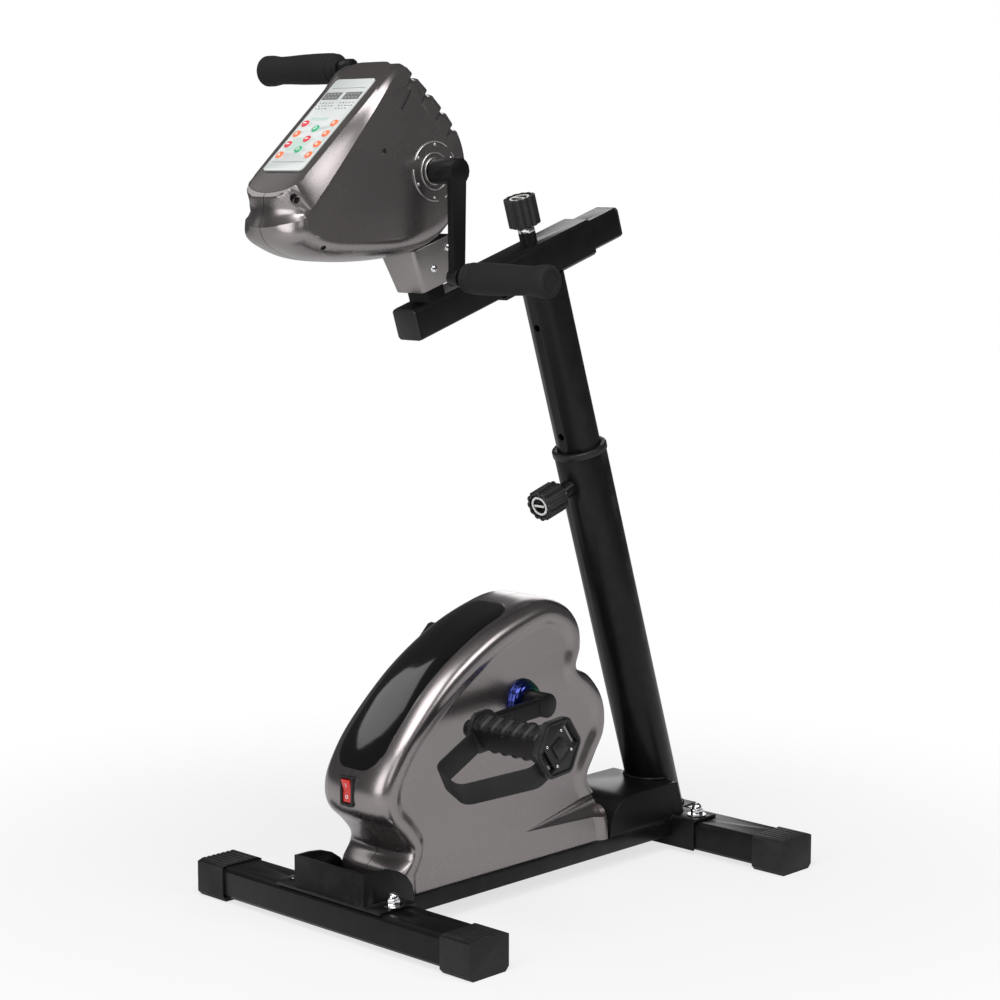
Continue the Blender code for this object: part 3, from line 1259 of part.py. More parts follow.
def make_head():
    rows = shell_rows(HEAD_ROWS, HEAD_CORNERS)
    halves = []
    for side in (1, -1):
        half = moulded_half("head_shell_" + side_name(side), side, rows, HEAD_HALF_WIDTH,
                            HEAD_LEVELS, (), HEAD_WALL, "silver_shell", HEAD_FRAME)
        smooth(half, 40.0)
        halves.append(half)
    console = make_console(halves)
    half_x, half_y = NECK_HEAD
    collar = outline_mesh([rounded_box(half_x + RUNNING_GAP, half_y + RUNNING_GAP, 0.005)], 0.09)
    neck = BAR_FRAME @ Matrix.Translation((0.0, POST_STATION, NECK_HIGH - 0.020))
    for half, side in zip(halves, (1, -1)):
        cut(half, collar.copy(), neck, "neck_opening")
        cut(half, rod_mesh(HUB_HOLE, 0.03, 0.07, 16), along_x(UPPER_AXLE, side), "axle_hole")
        for index in range(LOUVRES):
            place = HEAD_FRAME @ Matrix.Translation(
                (0.0, LOUVRE_START[0] + index * LOUVRE_PITCH[0],
                 LOUVRE_START[1] + index * LOUVRE_PITCH[1]))
            slot = box_mesh((-LOUVRE_REACH, -0.010, -LOUVRE_GAP / 2),
                            (LOUVRE_REACH, 0.020, LOUVRE_GAP / 2))
            cut(half, slot, place @ LOUVRE_TURN, "louvre_%d" % index)
    drive_frame = BAR_FRAME @ Matrix.Translation((0.0, POST_STATION, AXLE_RISE))
    drive = gearmotor("head_gearmotor", drive_frame, UPPER_AXLE, HEAD_DRIVE)
    return [*halves, console, drive, neck_cover()]


def key_places():
    """Column, row and finish of each key, from the panel's middle, up the slope."""
    places = []
    for column, word, colours in ((-1, "left", ("red", "orange", "red", "orange")),
                                  (1, "right", ("orange", "orange", "orange", "orange"))):
        for row, colour in enumerate(colours):
            places.append(("key_%s_%d" % (word, row + 1), column * KEY_COLUMN,
                           0.001 - row * KEY_PITCH, "key_" + colour))
    for row, colour in enumerate(("green", "red", "green")):
        places.append(("key_middle_%d" % (row + 1), 0.0, 0.001 - (row + 0.5) * KEY_PITCH,
                       "key_" + colour))
    return places


def make_panel():
    half_x, half_y = PANEL_SIZE[0] / 2, PANEL_SIZE[1] / 2
    low = SEAT_GAP + 0.0004
    outlines = [rounded_box(half_x, half_y, 0.004)]
    keys = []
    for name, x, y, finish in key_places():
        outlines.append(circle((x, y), KEY_RADIUS + SEAT_GAP, 10))
        frame = PANEL_FRAME @ Matrix.Translation((x, y, 0.0))
        base = low + KEY_TRAVEL + SEAT_GAP
        key = add_piece(name, rod_mesh(KEY_RADIUS, base, base + KEY_HEIGHT, 10,
                                       KEY_RADIUS - 0.0003), finish, frame)
        make_axis(name + "_axis", frame.translation, [key])
        keys.append(key)
    panel = add_piece("key_panel", outline_mesh(outlines, PANEL_THICKNESS), "white_panel",
                      PANEL_FRAME @ Matrix.Translation((0.0, 0.0, low + PANEL_THICKNESS / 2)))
    return panel


def make_mast_and_head():
    outer_mast()
    mast_collar()
    raised = [inner_mast()]
    lock_set("height_lock", lock_frame_on_mast(), MAST_RADIUS, INNER_RADIUS)
    lock_set("reach_lock", lock_frame_on_sleeve(), SLEEVE_OUTER, BAR_SIZE / 2)
    carried = [slide_bar(), bar_cap("bar_cap_front", -BAR_FRONT), bar_cap("bar_cap_rear", BAR_REAR)]
    carried += make_head()
    carried.append(make_panel())
    make_axis("height_slide_axis", MAST_FRAME @ Vector((0.0, 0.0, MAST_TOP)), raised)
    make_axis("reach_slide_axis", BAR_FRAME.translation, carried)


clear_scene()
PIECES = make_collection("electric_rehabilitation_mini_bike")
CUTTERS = make_collection("cutters")
make_materials()
make_feet()
base_rail()
front_bracket()
mast_foot()
make_housing()
make_switch()
make_lower_crank()
make_mast_and_head()
make_upper_crank()
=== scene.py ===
# %% [markdown]
# # A rehabilitation mini bike, dressed for its portrait
#
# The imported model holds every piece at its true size, with its joints, but in plain
# facets. This lesson keeps that model as a fixed frame and works around it: rounded
# edges for the steel work, smooth moulded housings, turned washers and grips, a printed
# keypad, and a finish for each surface. Every piece rides on the body that carries it,
# so one script looks right in every pose.

# %% Load the frame
import json
import math

import bpy
from mathutils import Matrix, Vector


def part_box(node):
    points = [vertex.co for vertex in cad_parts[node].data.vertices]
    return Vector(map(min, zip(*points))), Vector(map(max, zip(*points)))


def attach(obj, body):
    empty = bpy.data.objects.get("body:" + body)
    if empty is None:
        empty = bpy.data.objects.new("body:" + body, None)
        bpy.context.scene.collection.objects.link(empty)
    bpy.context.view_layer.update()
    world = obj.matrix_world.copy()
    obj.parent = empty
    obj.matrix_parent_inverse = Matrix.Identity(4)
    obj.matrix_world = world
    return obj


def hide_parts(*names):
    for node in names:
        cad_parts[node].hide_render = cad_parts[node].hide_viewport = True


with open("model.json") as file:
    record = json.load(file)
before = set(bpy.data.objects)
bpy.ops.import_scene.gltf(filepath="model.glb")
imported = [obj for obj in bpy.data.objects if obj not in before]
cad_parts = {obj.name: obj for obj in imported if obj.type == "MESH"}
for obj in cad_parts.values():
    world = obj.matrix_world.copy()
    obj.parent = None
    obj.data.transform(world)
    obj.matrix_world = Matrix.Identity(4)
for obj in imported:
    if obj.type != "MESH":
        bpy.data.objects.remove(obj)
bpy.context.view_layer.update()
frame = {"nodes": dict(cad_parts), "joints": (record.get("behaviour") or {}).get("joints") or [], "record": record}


def in_scene(name, data):
    """A new object for a mesh, a curve, a lamp or a camera, linked to the scene."""
    thing = bpy.data.objects.new(name, data)
    bpy.context.scene.collection.objects.link(thing)
    return thing


# %% [markdown]
# ## Where things are
#
# The joints give the axles, and the nodes' boxes give the feet, the rail and the mast.
# Two slopes and a few spacings are the values that the part was drawn with.

# %% Places and slopes
joint_place = {joint["name"]: Vector(joint["pos_m"])
               for joint in frame["joints"] if joint.get("pos_m")}
SIDES = ((1, "right"), (-1, "left"))
lower_axle = joint_place["lower_crank_spin"]
upper_axle = joint_place["upper_crank_spin"]


def middle_of(node):
    low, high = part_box(node)
    return (low + high) / 2


front_foot_y = middle_of("front_stabiliser").y
rear_foot_y = middle_of("rear_stabiliser").y
rail_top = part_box("base_rail")[1].z
MAST_TILT = math.radians(18.0)
CONSOLE_SLOPE = math.radians(42.1)
MAST_SET_BACK = 0.017
BAR_RISE = 0.731
POST_STATION = -0.172
PANEL_CENTRE = (-0.1115, 0.0445)

mast_frame = (Matrix.Translation((0.0, rear_foot_y + MAST_SET_BACK, 0.0))
              @ Matrix.Rotation(MAST_TILT, 4, "X"))
bar_frame = mast_frame @ Matrix.Translation((0.0, 0.0, BAR_RISE))
housing_frame = Matrix.Translation((0.0, front_foot_y, rail_top))
head_frame = Matrix.Translation(upper_axle)
panel_frame = (Matrix.Translation(upper_axle + Vector((0.0, *PANEL_CENTRE)))
               @ Matrix.Rotation(CONSOLE_SLOPE, 4, "X"))
print("front foot", round(front_foot_y, 4), "rail top", round(rail_top, 4),
      "upper axle", [round(value, 4) for value in upper_axle])

# %% [markdown]
# ## The camera
#
# The camera's height, distance and lens were solved from the machine's own corners
# before anything was modelled. It stands 0.79 m above the floor and looks slightly
# down, from the front right, with a long lens.

# %% Camera
CAMERA_TURN = 0.767023
CAMERA_TIP = 0.135777
CAMERA_ROLL = 0.001234
CAMERA_FROM_FOOT = Vector((1.80135, -1.63676, 0.78793))
CAMERA_LENS = 86.247


def camera_matrix():
    back = Vector((math.sin(CAMERA_TURN) * math.cos(CAMERA_TIP),
                   -math.cos(CAMERA_TURN) * math.cos(CAMERA_TIP), math.sin(CAMERA_TIP)))
    level = Vector((math.cos(CAMERA_TURN), math.sin(CAMERA_TURN), 0.0))
    upright = back.cross(level)
    right = math.cos(CAMERA_ROLL) * level + math.sin(CAMERA_ROLL) * upright
    up = back.cross(right)
    turn = Matrix((right, up, back)).transposed().to_4x4()
    return Matrix.Translation(CAMERA_FROM_FOOT + Vector((0.0, front_foot_y, 0.0))) @ turn


camera_data = bpy.data.cameras.new("portrait")
camera_data.lens = CAMERA_LENS
camera_data.sensor_width = 36.0
camera = in_scene("portrait", camera_data)
camera.matrix_world = camera_matrix()
bpy.context.scene.camera = camera
bpy.context.scene.view_settings.view_transform = "Standard"
print("camera at", [round(value, 3) for value in camera.location])

# %% [markdown]
# ## Floor, lamps and world
#
# The machine stands on plain white with only a soft shadow under it. The floor keeps
# its shadow near the feet and melts into white further out, which hides the horizon.
# Six soft lamps light it: two strong ones above and in front, and weaker ones near the
# camera, at both sides and behind. Only the camera sees the world as white, and shiny
# parts see a share of the floor's white.

# %% Stage
def node_of(tree, kind, **values):
    """Adds a node to a tree and sets its plain properties."""
    node = tree.nodes.new(kind)
    for name, value in values.items():
        setattr(node, name, value)
    return node


def feed(tree, node, values):
    """Gives a node's inputs a plain value or another node's output each."""
    for name, value in values.items():
        if isinstance(value, bpy.types.NodeSocket):
            tree.links.new(value, node.inputs[name])
        else:
            node.inputs[name].default_value = value
    return node


def maths(tree, operation, first, second):
    """A Math node on two values, each a socket or a number."""
    node = node_of(tree, "ShaderNodeMath", operation=operation)
    return feed(tree, node, {0: first, 1: second}).outputs[0]


def ramp(tree, value, stops):
    """A Map Range that turns one span of a value into another: (from, to, low, high)."""
    node = node_of(tree, "ShaderNodeMapRange", clamp=True, interpolation_type="SMOOTHSTEP")
    feed(tree, node, {"Value": value,
                      **dict(zip(("From Min", "From Max", "To Min", "To Max"), stops))})
    return node.outputs["Result"]


FLOOR_SIZE = 14.0
WHITE_FROM, WHITE_TO = 0.30, 1.00
FLOOR_WHITE = 0.72           # share of white in the floor beside the feet
WHITE = (1.0, 1.0, 1.0, 1.0)
WORLD_LIGHT = 0.08
MIRRORED_FLOOR = 0.30        # share of the floor's glow that shiny parts see

bpy.ops.object.select_all(action="DESELECT")
bpy.ops.mesh.primitive_plane_add(size=FLOOR_SIZE, location=(0.0, 0.0, 0.0))
floor = bpy.context.object
floor.name = "studio_floor"
floor_material = bpy.data.materials.new("pale_floor")
floor_material.use_nodes = True
tree = floor_material.node_tree
paper = feed(tree, tree.nodes["Principled BSDF"], {
    "Base Color": (0.90, 0.90, 0.90, 1.0), "Roughness": 0.9, "Specular IOR Level": 0.1})
place = node_of(tree, "ShaderNodeTexCoord")
reach = node_of(tree, "ShaderNodeVectorMath", operation="LENGTH")
tree.links.new(place.outputs["Object"], reach.inputs[0])
glow = feed(tree, node_of(tree, "ShaderNodeEmission"), {"Color": WHITE})
seen = node_of(tree, "ShaderNodeLightPath")
direct = maths(tree, "MAXIMUM", seen.outputs["Is Camera Ray"],
               maths(tree, "MULTIPLY", seen.outputs["Is Glossy Ray"], MIRRORED_FLOOR))
share = maths(tree, "MULTIPLY", ramp(tree, reach.outputs["Value"],
                                     (WHITE_FROM, WHITE_TO, FLOOR_WHITE, 1.0)), direct)
join = feed(tree, node_of(tree, "ShaderNodeMixShader"), {
    "Fac": share, 1: paper.outputs["BSDF"], 2: glow.outputs["Emission"]})
feed(tree, tree.nodes["Material Output"], {"Surface": join.outputs["Shader"]})
floor.data.materials.append(floor_material)

world = bpy.data.worlds.new("studio")
bpy.context.scene.world = world
world.use_nodes = True
tree = world.node_tree
direct = node_of(tree, "ShaderNodeLightPath").outputs["Is Camera Ray"]
feed(tree, tree.nodes["Background"], {
    "Strength": ramp(tree, direct, (0.0, 1.0, WORLD_LIGHT, 1.0)), "Color": WHITE})

# %% Lamps
LAMPS = (
    # name, place, point aimed at, width, height, watts
    ("overhead_box", (0.8, -1.05, 2.4), (0.1, -0.25, 0.6), 1.5, 1.4, 34.0),
    ("front_box", (0.35, -2.7, 1.2), (0.0, -0.1, 0.5), 1.2, 1.9, 26.0),
    ("camera_fill", (2.3, -2.0, 1.7), (0.0, 0.0, 0.4), 1.2, 1.2, 9.0),
    ("right_high", (2.0, 0.50, 1.95), (0.0, -0.2, 0.6), 0.9, 0.9, 16.0),
    ("left_high", (-1.9, -0.7, 2.2), (0.0, -0.1, 0.4), 1.2, 1.2, 6.0),
    ("back_panel", (-1.7, 2.2, 1.2), (0.0, 0.1, 0.6), 0.8, 1.8, 9.0),
)
for name, spot, aim, width, height, watts in LAMPS:
    lamp_data = bpy.data.lights.new(name, "AREA")
    lamp_data.shape = "RECTANGLE"
    lamp_data.size, lamp_data.size_y = width, height
    lamp_data.energy = watts
    lamp = in_scene(name, lamp_data)
    lamp.location = spot
    lamp.rotation_euler = (Vector(aim) - Vector(spot)).to_track_quat("-Z", "Y").to_euler()
print("lamps", len(LAMPS))

# %% [markdown]
# ## Shared surface effects
#
# Four effects turn up on nearly every part, so each is a node group built once.
# Drift shifts a colour a little over a hand's width, as dye and paint do. Grain gives
# the fine pebble of moulded plastic or powder coat, as a height for a Bump node.
# Handling varies the roughness in soft patches, where fingers and cloths have been.
# Edge wear lightens the colour a little on sharp outer edges, in broken patches.

# %% Node groups
def new_group(name, inputs, outputs):
    group = bpy.data.node_groups.new(name, "ShaderNodeTree")
    for label, kind, value in inputs:
        socket = group.interface.new_socket(label, in_out="INPUT", socket_type=kind)
        socket.default_value = value
    for label, kind in outputs:
        group.interface.new_socket(label, in_out="OUTPUT", socket_type=kind)
    start = group.nodes.new("NodeGroupInput")
    end = group.nodes.new("NodeGroupOutput")
    return group, start.outputs, end.inputs


def noise_in(tree, scale, detail, rough=0.5):
    """A Noise Texture on Object coordinates, its scale a socket or a number."""
    place = tree.nodes.new("ShaderNodeTexCoord")
    noise = feed(tree, tree.nodes.new("ShaderNodeTexNoise"), {
        "Vector": place.outputs["Object"], "Scale": scale, "Detail": detail, "Roughness": rough})
    return noise.outputs["Fac"]


drift, into, out_of = new_group(
    "colour_drift",
    (("Colour", "NodeSocketColor", (0.5, 0.5, 0.5, 1.0)), ("Scale", "NodeSocketFloat", 9.0),
     ("Amount", "NodeSocketFloat", 0.1)),
    (("Colour", "NodeSocketColor"),))
wander = noise_in(drift, into["Scale"], 3.0)
swing = maths(drift, "MULTIPLY", maths(drift, "SUBTRACT", wander, 0.5), into["Amount"])
level = maths(drift, "ADD", maths(drift, "MULTIPLY", swing, 2.0), 1.0)
shade = feed(drift, node_of(drift, "ShaderNodeVectorMath", operation="SCALE"),
             {0: into["Colour"], "Scale": level})
drift.links.new(shade.outputs[0], out_of["Colour"])

handling, into, out_of = new_group(
    "handling",
    (("Roughness", "NodeSocketFloat", 0.4), ("Scale", "NodeSocketFloat", 14.0),
     ("Amount", "NodeSocketFloat", 0.08)),
    (("Roughness", "NodeSocketFloat"),))
smear = noise_in(handling, into["Scale"], 5.0, 0.6)
swing = maths(handling, "MULTIPLY", maths(handling, "SUBTRACT", smear, 0.5), into["Amount"])
handling.links.new(maths(handling, "ADD", into["Roughness"], swing), out_of["Roughness"])

grain, into, out_of = new_group(
    "moulded_grain",
    (("Scale", "NodeSocketFloat", 900.0), ("Depth", "NodeSocketFloat", 1.0)),
    (("Height", "NodeSocketFloat"),))
fine = noise_in(grain, into["Scale"], 2.0)
coarse = noise_in(grain, maths(grain, "MULTIPLY", into["Scale"], 0.37), 1.0)
both = maths(grain, "ADD", maths(grain, "MULTIPLY", fine, 0.6),
             maths(grain, "MULTIPLY", coarse, 0.4))
grain.links.new(maths(grain, "MULTIPLY", both, into["Depth"]), out_of["Height"])

# from, to, low, high of the two ramps
SHARP_EDGE, BROKEN_PATCH = (0.53, 0.62, 0.0, 1.0), (0.42, 0.62, 0.2, 1.0)
edge_wear, into, out_of = new_group(
    "edge_wear",
    (("Colour", "NodeSocketColor", (0.5, 0.5, 0.5, 1.0)), ("Amount", "NodeSocketFloat", 0.05)),
    (("Colour", "NodeSocketColor"),))
shape = edge_wear.nodes.new("ShaderNodeNewGeometry")
edge = ramp(edge_wear, shape.outputs["Pointiness"], SHARP_EDGE)
patchy = ramp(edge_wear, noise_in(edge_wear, 45.0, 4.0, 0.65), BROKEN_PATCH)
lift = maths(edge_wear, "MULTIPLY", maths(edge_wear, "MULTIPLY", edge, patchy), into["Amount"])
grey = feed(edge_wear, edge_wear.nodes.new("ShaderNodeCombineXYZ"), dict.fromkeys("XYZ", lift))
sum_of = feed(edge_wear, node_of(edge_wear, "ShaderNodeVectorMath", operation="ADD"),
              {0: into["Colour"], 1: grey.outputs[0]})
edge_wear.links.new(sum_of.outputs[0], out_of["Colour"])
print("groups", [group.name for group in bpy.data.node_groups])

# %% [markdown]
# ## Finishes
#
# Each finish is one material with its own shader. Plain numbers, such as the coat and
# the metallic share, are set on the shader. The groups feed only colour, roughness and
# bump. The silver of the housings is a metallic paint under a thin clear coat.

# %% Finishes
FINISHES = {
    # slot: colour, roughness, metallic, coat, drift, grain scale, bump, specular, wear
    "black_paint": ((0.0065, 0.0063, 0.0066), 0.31, 0.0, 0.02, 0.12, 1100.0, 0.08, 0.20, 0.020),
    "silver_shell": ((0.285, 0.258, 0.260), 0.27, 0.93, 0.25, 0.02, 420.0, 0.003, 0.5, 0.04),
    "neck_silver": ((0.300, 0.280, 0.278), 0.36, 0.88, 0.10, 0.04, 420.0, 0.008, 0.5, 0.05),
    "gloss_black": ((0.0045, 0.0040, 0.0042), 0.07, 0.0, 0.55, 0.05, 60.0, 0.004, 0.5, 0.0),
    "dark_console": ((0.090, 0.080, 0.078), 0.34, 0.45, 0.05, 0.06, 1300.0, 0.04, 0.5, 0.06),
    "black_rubber": ((0.0110, 0.0110, 0.0114), 0.58, 0.0, 0.0, 0.16, 650.0, 0.26, 0.34, 0.030),
    "black_plastic": ((0.0095, 0.0093, 0.0095), 0.38, 0.0, 0.0, 0.12, 900.0, 0.16, 0.38, 0.030),
    "grip_foam": ((0.0130, 0.0130, 0.0134), 0.80, 0.0, 0.0, 0.16, 1500.0, 0.40, 0.26, 0.0),
    "chrome": ((0.78, 0.78, 0.80), 0.10, 1.0, 0.0, 0.05, 300.0, 0.01, 0.5, 0.0),
    "steel": ((0.50, 0.49, 0.48), 0.30, 1.0, 0.0, 0.08, 700.0, 0.05, 0.5, 0.0),
    "cast_metal": ((0.30, 0.30, 0.31), 0.50, 0.9, 0.0, 0.12, 320.0, 0.25, 0.5, 0.10),
    "white_panel": ((0.66, 0.69, 0.68), 0.33, 0.0, 0.10, 0.02, 1600.0, 0.02, 0.4, 0.0),
    "pale_green": ((0.52, 0.66, 0.59), 0.33, 0.0, 0.10, 0.02, 1600.0, 0.02, 0.4, 0.0),
    "display_grey": ((0.150, 0.155, 0.155), 0.22, 0.0, 0.30, 0.05, 900.0, 0.01, 0.5, 0.0),
    "print_grey": ((0.26, 0.27, 0.27), 0.45, 0.0, 0.0, 0.05, 900.0, 0.01, 0.4, 0.0),
    "key_red": ((0.74, 0.055, 0.075), 0.38, 0.0, 0.0, 0.06, 1200.0, 0.05, 0.4, 0.0),
    "key_orange": ((0.88, 0.20, 0.075), 0.38, 0.0, 0.0, 0.06, 1200.0, 0.05, 0.4, 0.0),
    "key_green": ((0.045, 0.42, 0.20), 0.38, 0.0, 0.0, 0.06, 1200.0, 0.05, 0.4, 0.0),
    "key_print": ((0.80, 0.80, 0.78), 0.40, 0.0, 0.0, 0.02, 1200.0, 0.02, 0.4, 0.0),
    "switch_red": ((0.62, 0.012, 0.010), 0.18, 0.0, 0.35, 0.05, 700.0, 0.02, 0.5, 0.0),
}
GRAIN_HEIGHT = 0.0005        # bump height in metres at full grain
HANDLED = 0.25               # swing of the roughness, as a share of it
COAT_ROUGHNESS = 0.12


def use_group(tree, group, **values):
    node = tree.nodes.new("ShaderNodeGroup")
    node.node_tree = group
    return feed(tree, node, values)


def finish_of(name, colour, roughness, metallic, coat, spread, scale, strength, specular=0.5,
              rub=0.0):
    material = bpy.data.materials.new(name)
    material.use_nodes = True
    tree = material.node_tree
    tint = use_group(tree, drift, Colour=(*colour, 1.0), Amount=spread)
    worn = use_group(tree, edge_wear, Colour=tint.outputs["Colour"], Amount=rub)
    touch = use_group(tree, handling, Roughness=roughness, Amount=HANDLED * roughness)
    pebble = use_group(tree, grain, Scale=scale)
    bump = feed(tree, tree.nodes.new("ShaderNodeBump"), {
        "Strength": strength, "Distance": GRAIN_HEIGHT, "Height": pebble.outputs["Height"]})
    feed(tree, tree.nodes["Principled BSDF"], {
        "Metallic": metallic, "Coat Weight": coat, "Coat Roughness": COAT_ROUGHNESS,
        "Specular IOR Level": specular, "Base Color": worn.outputs["Colour"],
        "Roughness": touch.outputs["Roughness"], "Normal": bump.outputs["Normal"]})
    return material


finishes = {name: finish_of(name + "_finish", *values) for name, values in FINISHES.items()}
print("finishes", len(finishes))

# %% [markdown]
# ### The hub dome and its painted sheen
#
# The dome over the lower axle is a plated cap whose reflections run blue on one side and green
# on the other. That sheen is painted into its colour: a blend between the two along the dome's
# own depth, and a slow wander bends the border, so that it never reads as a painted line.

# %% Dome finish
dome_finish = finish_of("blue_dome_finish", (0.012, 0.05, 0.30), 0.10, 0.9, 0.5, 0.2, 300.0, 0.01)
tree = dome_finish.node_tree
place = node_of(tree, "ShaderNodeTexCoord")
apart = node_of(tree, "ShaderNodeSeparateXYZ")
tree.links.new(place.outputs["Object"], apart.inputs[0])
# Painted sheen: blue on one side of the dome, green on the other, by position.
border = maths(tree, "ADD", apart.outputs["Y"],
               maths(tree, "MULTIPLY", noise_in(tree, 60.0, 2.0), 0.012))
sheen_share = ramp(tree, border, (lower_axle.y - 0.002, lower_axle.y + 0.024, 0.0, 1.0))
two = feed(tree, node_of(tree, "ShaderNodeMix", data_type="RGBA"), {
    "Factor": sheen_share, "A": (0.006, 0.016, 0.15, 1.0), "B": (0.006, 0.22, 0.07, 1.0)})
feed(tree, tree.nodes["Principled BSDF"], {"Base Color": two.outputs["Result"]})
finishes["blue_dome"] = dome_finish

# %% [markdown]
# ## Tools for making pieces
#
# An operator works on whatever is selected, so every step starts by putting everything
# down and picking up one piece. A finished piece keeps its place in its mesh, and its
# object at the origin.

# %% Picking up and finishing
made = {}


def pick_up(piece):
    if bpy.context.mode != "OBJECT":
        bpy.ops.object.mode_set(mode="OBJECT")
    bpy.ops.object.select_all(action="DESELECT")
    piece.select_set(True)
    bpy.context.view_layer.objects.active = piece


def in_edit(piece, select="SELECT"):
    pick_up(piece)
    bpy.ops.object.mode_set(mode="EDIT")
    bpy.ops.mesh.select_mode(type="VERT")
    bpy.ops.mesh.select_all(action=select)


def outward(piece, where):
    """Turns the faces outwards, leaves edit mode and puts the piece in its place."""
    bpy.ops.mesh.normals_make_consistent(inside=False)
    bpy.ops.object.mode_set(mode="OBJECT")
    piece.data.transform(where)
    return piece


def spun(piece, steps, angle, merge, where):
    """Spins what is selected round the Z axis into one skin."""
    bpy.ops.mesh.spin(steps=steps, angle=angle, center=(0.0, 0.0, 0.0), axis=(0.0, 0.0, 1.0))
    bpy.ops.mesh.select_all(action="SELECT")
    bpy.ops.mesh.remove_doubles(threshold=merge)
    return outward(piece, where)


def apply_modifiers(piece):
    pick_up(piece)
    for modifier in list(piece.modifiers):
        bpy.ops.object.modifier_apply(modifier=modifier.name)


def round_edges(piece, width, steps=2, angle=38.0):
    """Bevels every edge sharper than an angle, as a press or a mould would leave it."""
    bevel = piece.modifiers.new("edges", "BEVEL")
    bevel.width = width
    bevel.segments = steps
    bevel.limit_method = "ANGLE"
    bevel.angle_limit = math.radians(angle)
    bevel.harden_normals = False
    apply_modifiers(piece)


def finish_piece(piece, name, body, finish, angle=35.0, stands_for=()):
    """Names a piece, smooths it, gives it a finish and hangs it on its body."""
    pick_up(piece)
    bpy.ops.object.transform_apply(location=True, rotation=True, scale=True)
    bpy.ops.object.shade_smooth_by_angle(angle=math.radians(angle))
    piece.name = name
    piece.data.name = name
    piece.data.materials.clear()
    piece.data.materials.append(finishes[finish])
    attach(piece, body)
    if stands_for:
        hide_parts(*stands_for)
    made[name] = len(piece.data.polygons)
    return piece


def new_piece(name, points, faces):
    mesh = bpy.data.meshes.new(name)
    mesh.from_pydata(points, [], faces)
    return in_scene(name, mesh)


def slab(name, outline, low, high, where):
    """A flat sheet with an outline, thickened by extruding it upwards."""
    piece = new_piece(name, [(x, y, low) for x, y in outline], [list(range(len(outline)))])
    in_edit(piece)
    bpy.ops.mesh.extrude_region_move(TRANSFORM_OT_translate={"value": (0.0, 0.0, high - low)})
    bpy.ops.mesh.select_all(action="SELECT")
    return outward(piece, where)


def rod(name, radius, low, high, where, sides=48, tip=None):
    """A round bar along its own Z, with a second radius at its far end if one is given."""
    bpy.ops.object.select_all(action="DESELECT")
    bpy.ops.mesh.primitive_cone_add(vertices=sides, radius1=radius,
                                    radius2=radius if tip is None else tip,
                                    depth=high - low, location=(0.0, 0.0, (low + high) / 2))
    piece = bpy.context.object
    piece.name = name
    bpy.ops.object.transform_apply(location=True, rotation=True, scale=True)
    piece.data.transform(where)
    return piece


def along_x(point, side):
    """A frame whose Z runs out along X to one side, from a point."""
    return Matrix.Translation(point) @ Matrix.Rotation(side * math.pi / 2, 4, "Y")


def turn_to(direction):
    """A turn that lays Z along a direction."""
    return direction.to_track_quat("Z", "Y").to_matrix().to_4x4()


def body_of_node(node):
    return next(body for body, nodes in frame["record"]["behaviour"]["bodies"].items()
                if node in nodes)


# %% [markdown]
# ## Steel work and small mouldings
#
# The tubes, brackets, arms, straps and caps already have the right shape. What a plain
# solid lacks is the small radius that catches the light on every edge. A copy of each
# is merged into one skin, flat areas are joined, its edges are rounded, and the copy
# stands for the node.

# %% Copies with rounded edges
ROUNDED = {
    # node: edge radius
    "front_stabiliser": 0.0015, "rear_stabiliser": 0.0015, "base_rail": 0.0012,
    "front_bracket": 0.0008, "mast_foot": 0.0010, "outer_mast": 0.0006,
    "mast_collar": 0.0008, "inner_mast": 0.0008, "slide_bar": 0.0010,
    "bar_cap_front": 0.0010, "bar_cap_rear": 0.0010,
    "cap_front_right": 0.0007, "cap_front_left": 0.0007,
    "cap_rear_right": 0.0007, "cap_rear_left": 0.0007,
    "switch_bezel": 0.0006, "power_switch": 0.0008,
    "lower_arm_right": 0.0010, "lower_arm_left": 0.0010,
    "upper_arm_right": 0.0010, "upper_arm_left": 0.0010,
    "pedal_right": 0.0008, "pedal_left": 0.0008,
    "pedal_strap_right": 0.0005, "pedal_strap_left": 0.0005, "neck_cover": 0.0009,
    "height_lock_barrel": 0.0004, "reach_lock_barrel": 0.0004,
    "lower_axle": 0.0005, "upper_axle": 0.0005,
}
OTHER_FINISH = {"neck_cover": "neck_silver"}
slot_of_node = {entry["node"]: entry["material_slot"] for entry in frame["record"]["subparts"]}


def merged_copy(node):
    """A copy of a node's mesh, merged, with its flat areas joined into single faces."""
    piece = in_scene(node + "_copy", frame["nodes"][node].data.copy())
    in_edit(piece)
    bpy.ops.mesh.remove_doubles(threshold=0.00001)
    bpy.ops.mesh.dissolve_limited(angle_limit=math.radians(0.6))
    bpy.ops.object.mode_set(mode="OBJECT")
    return piece


for node, radius in ROUNDED.items():
    piece = merged_copy(node)
    round_edges(piece, radius)
    finish_piece(piece, node + "_dressed", body_of_node(node),
                 OTHER_FINISH.get(node, slot_of_node[node]), stands_for=(node,))
print("rounded copies", len(ROUNDED))

# %% [markdown]
# ## Moulded housings
#
# Each housing is a pair of moulded shells. Their outline is drawn as a list of stations,
# and at each station the skin runs level for a while and then turns in to the side face,
# like a quarter of an ellipse. A smooth curve through the stations gives the outline,
# and rings at several levels between the parting plane and the side face give the skin.
# Extruding and scaling by hand can't follow such a changing radius, so the skin is
# written as rings of points.

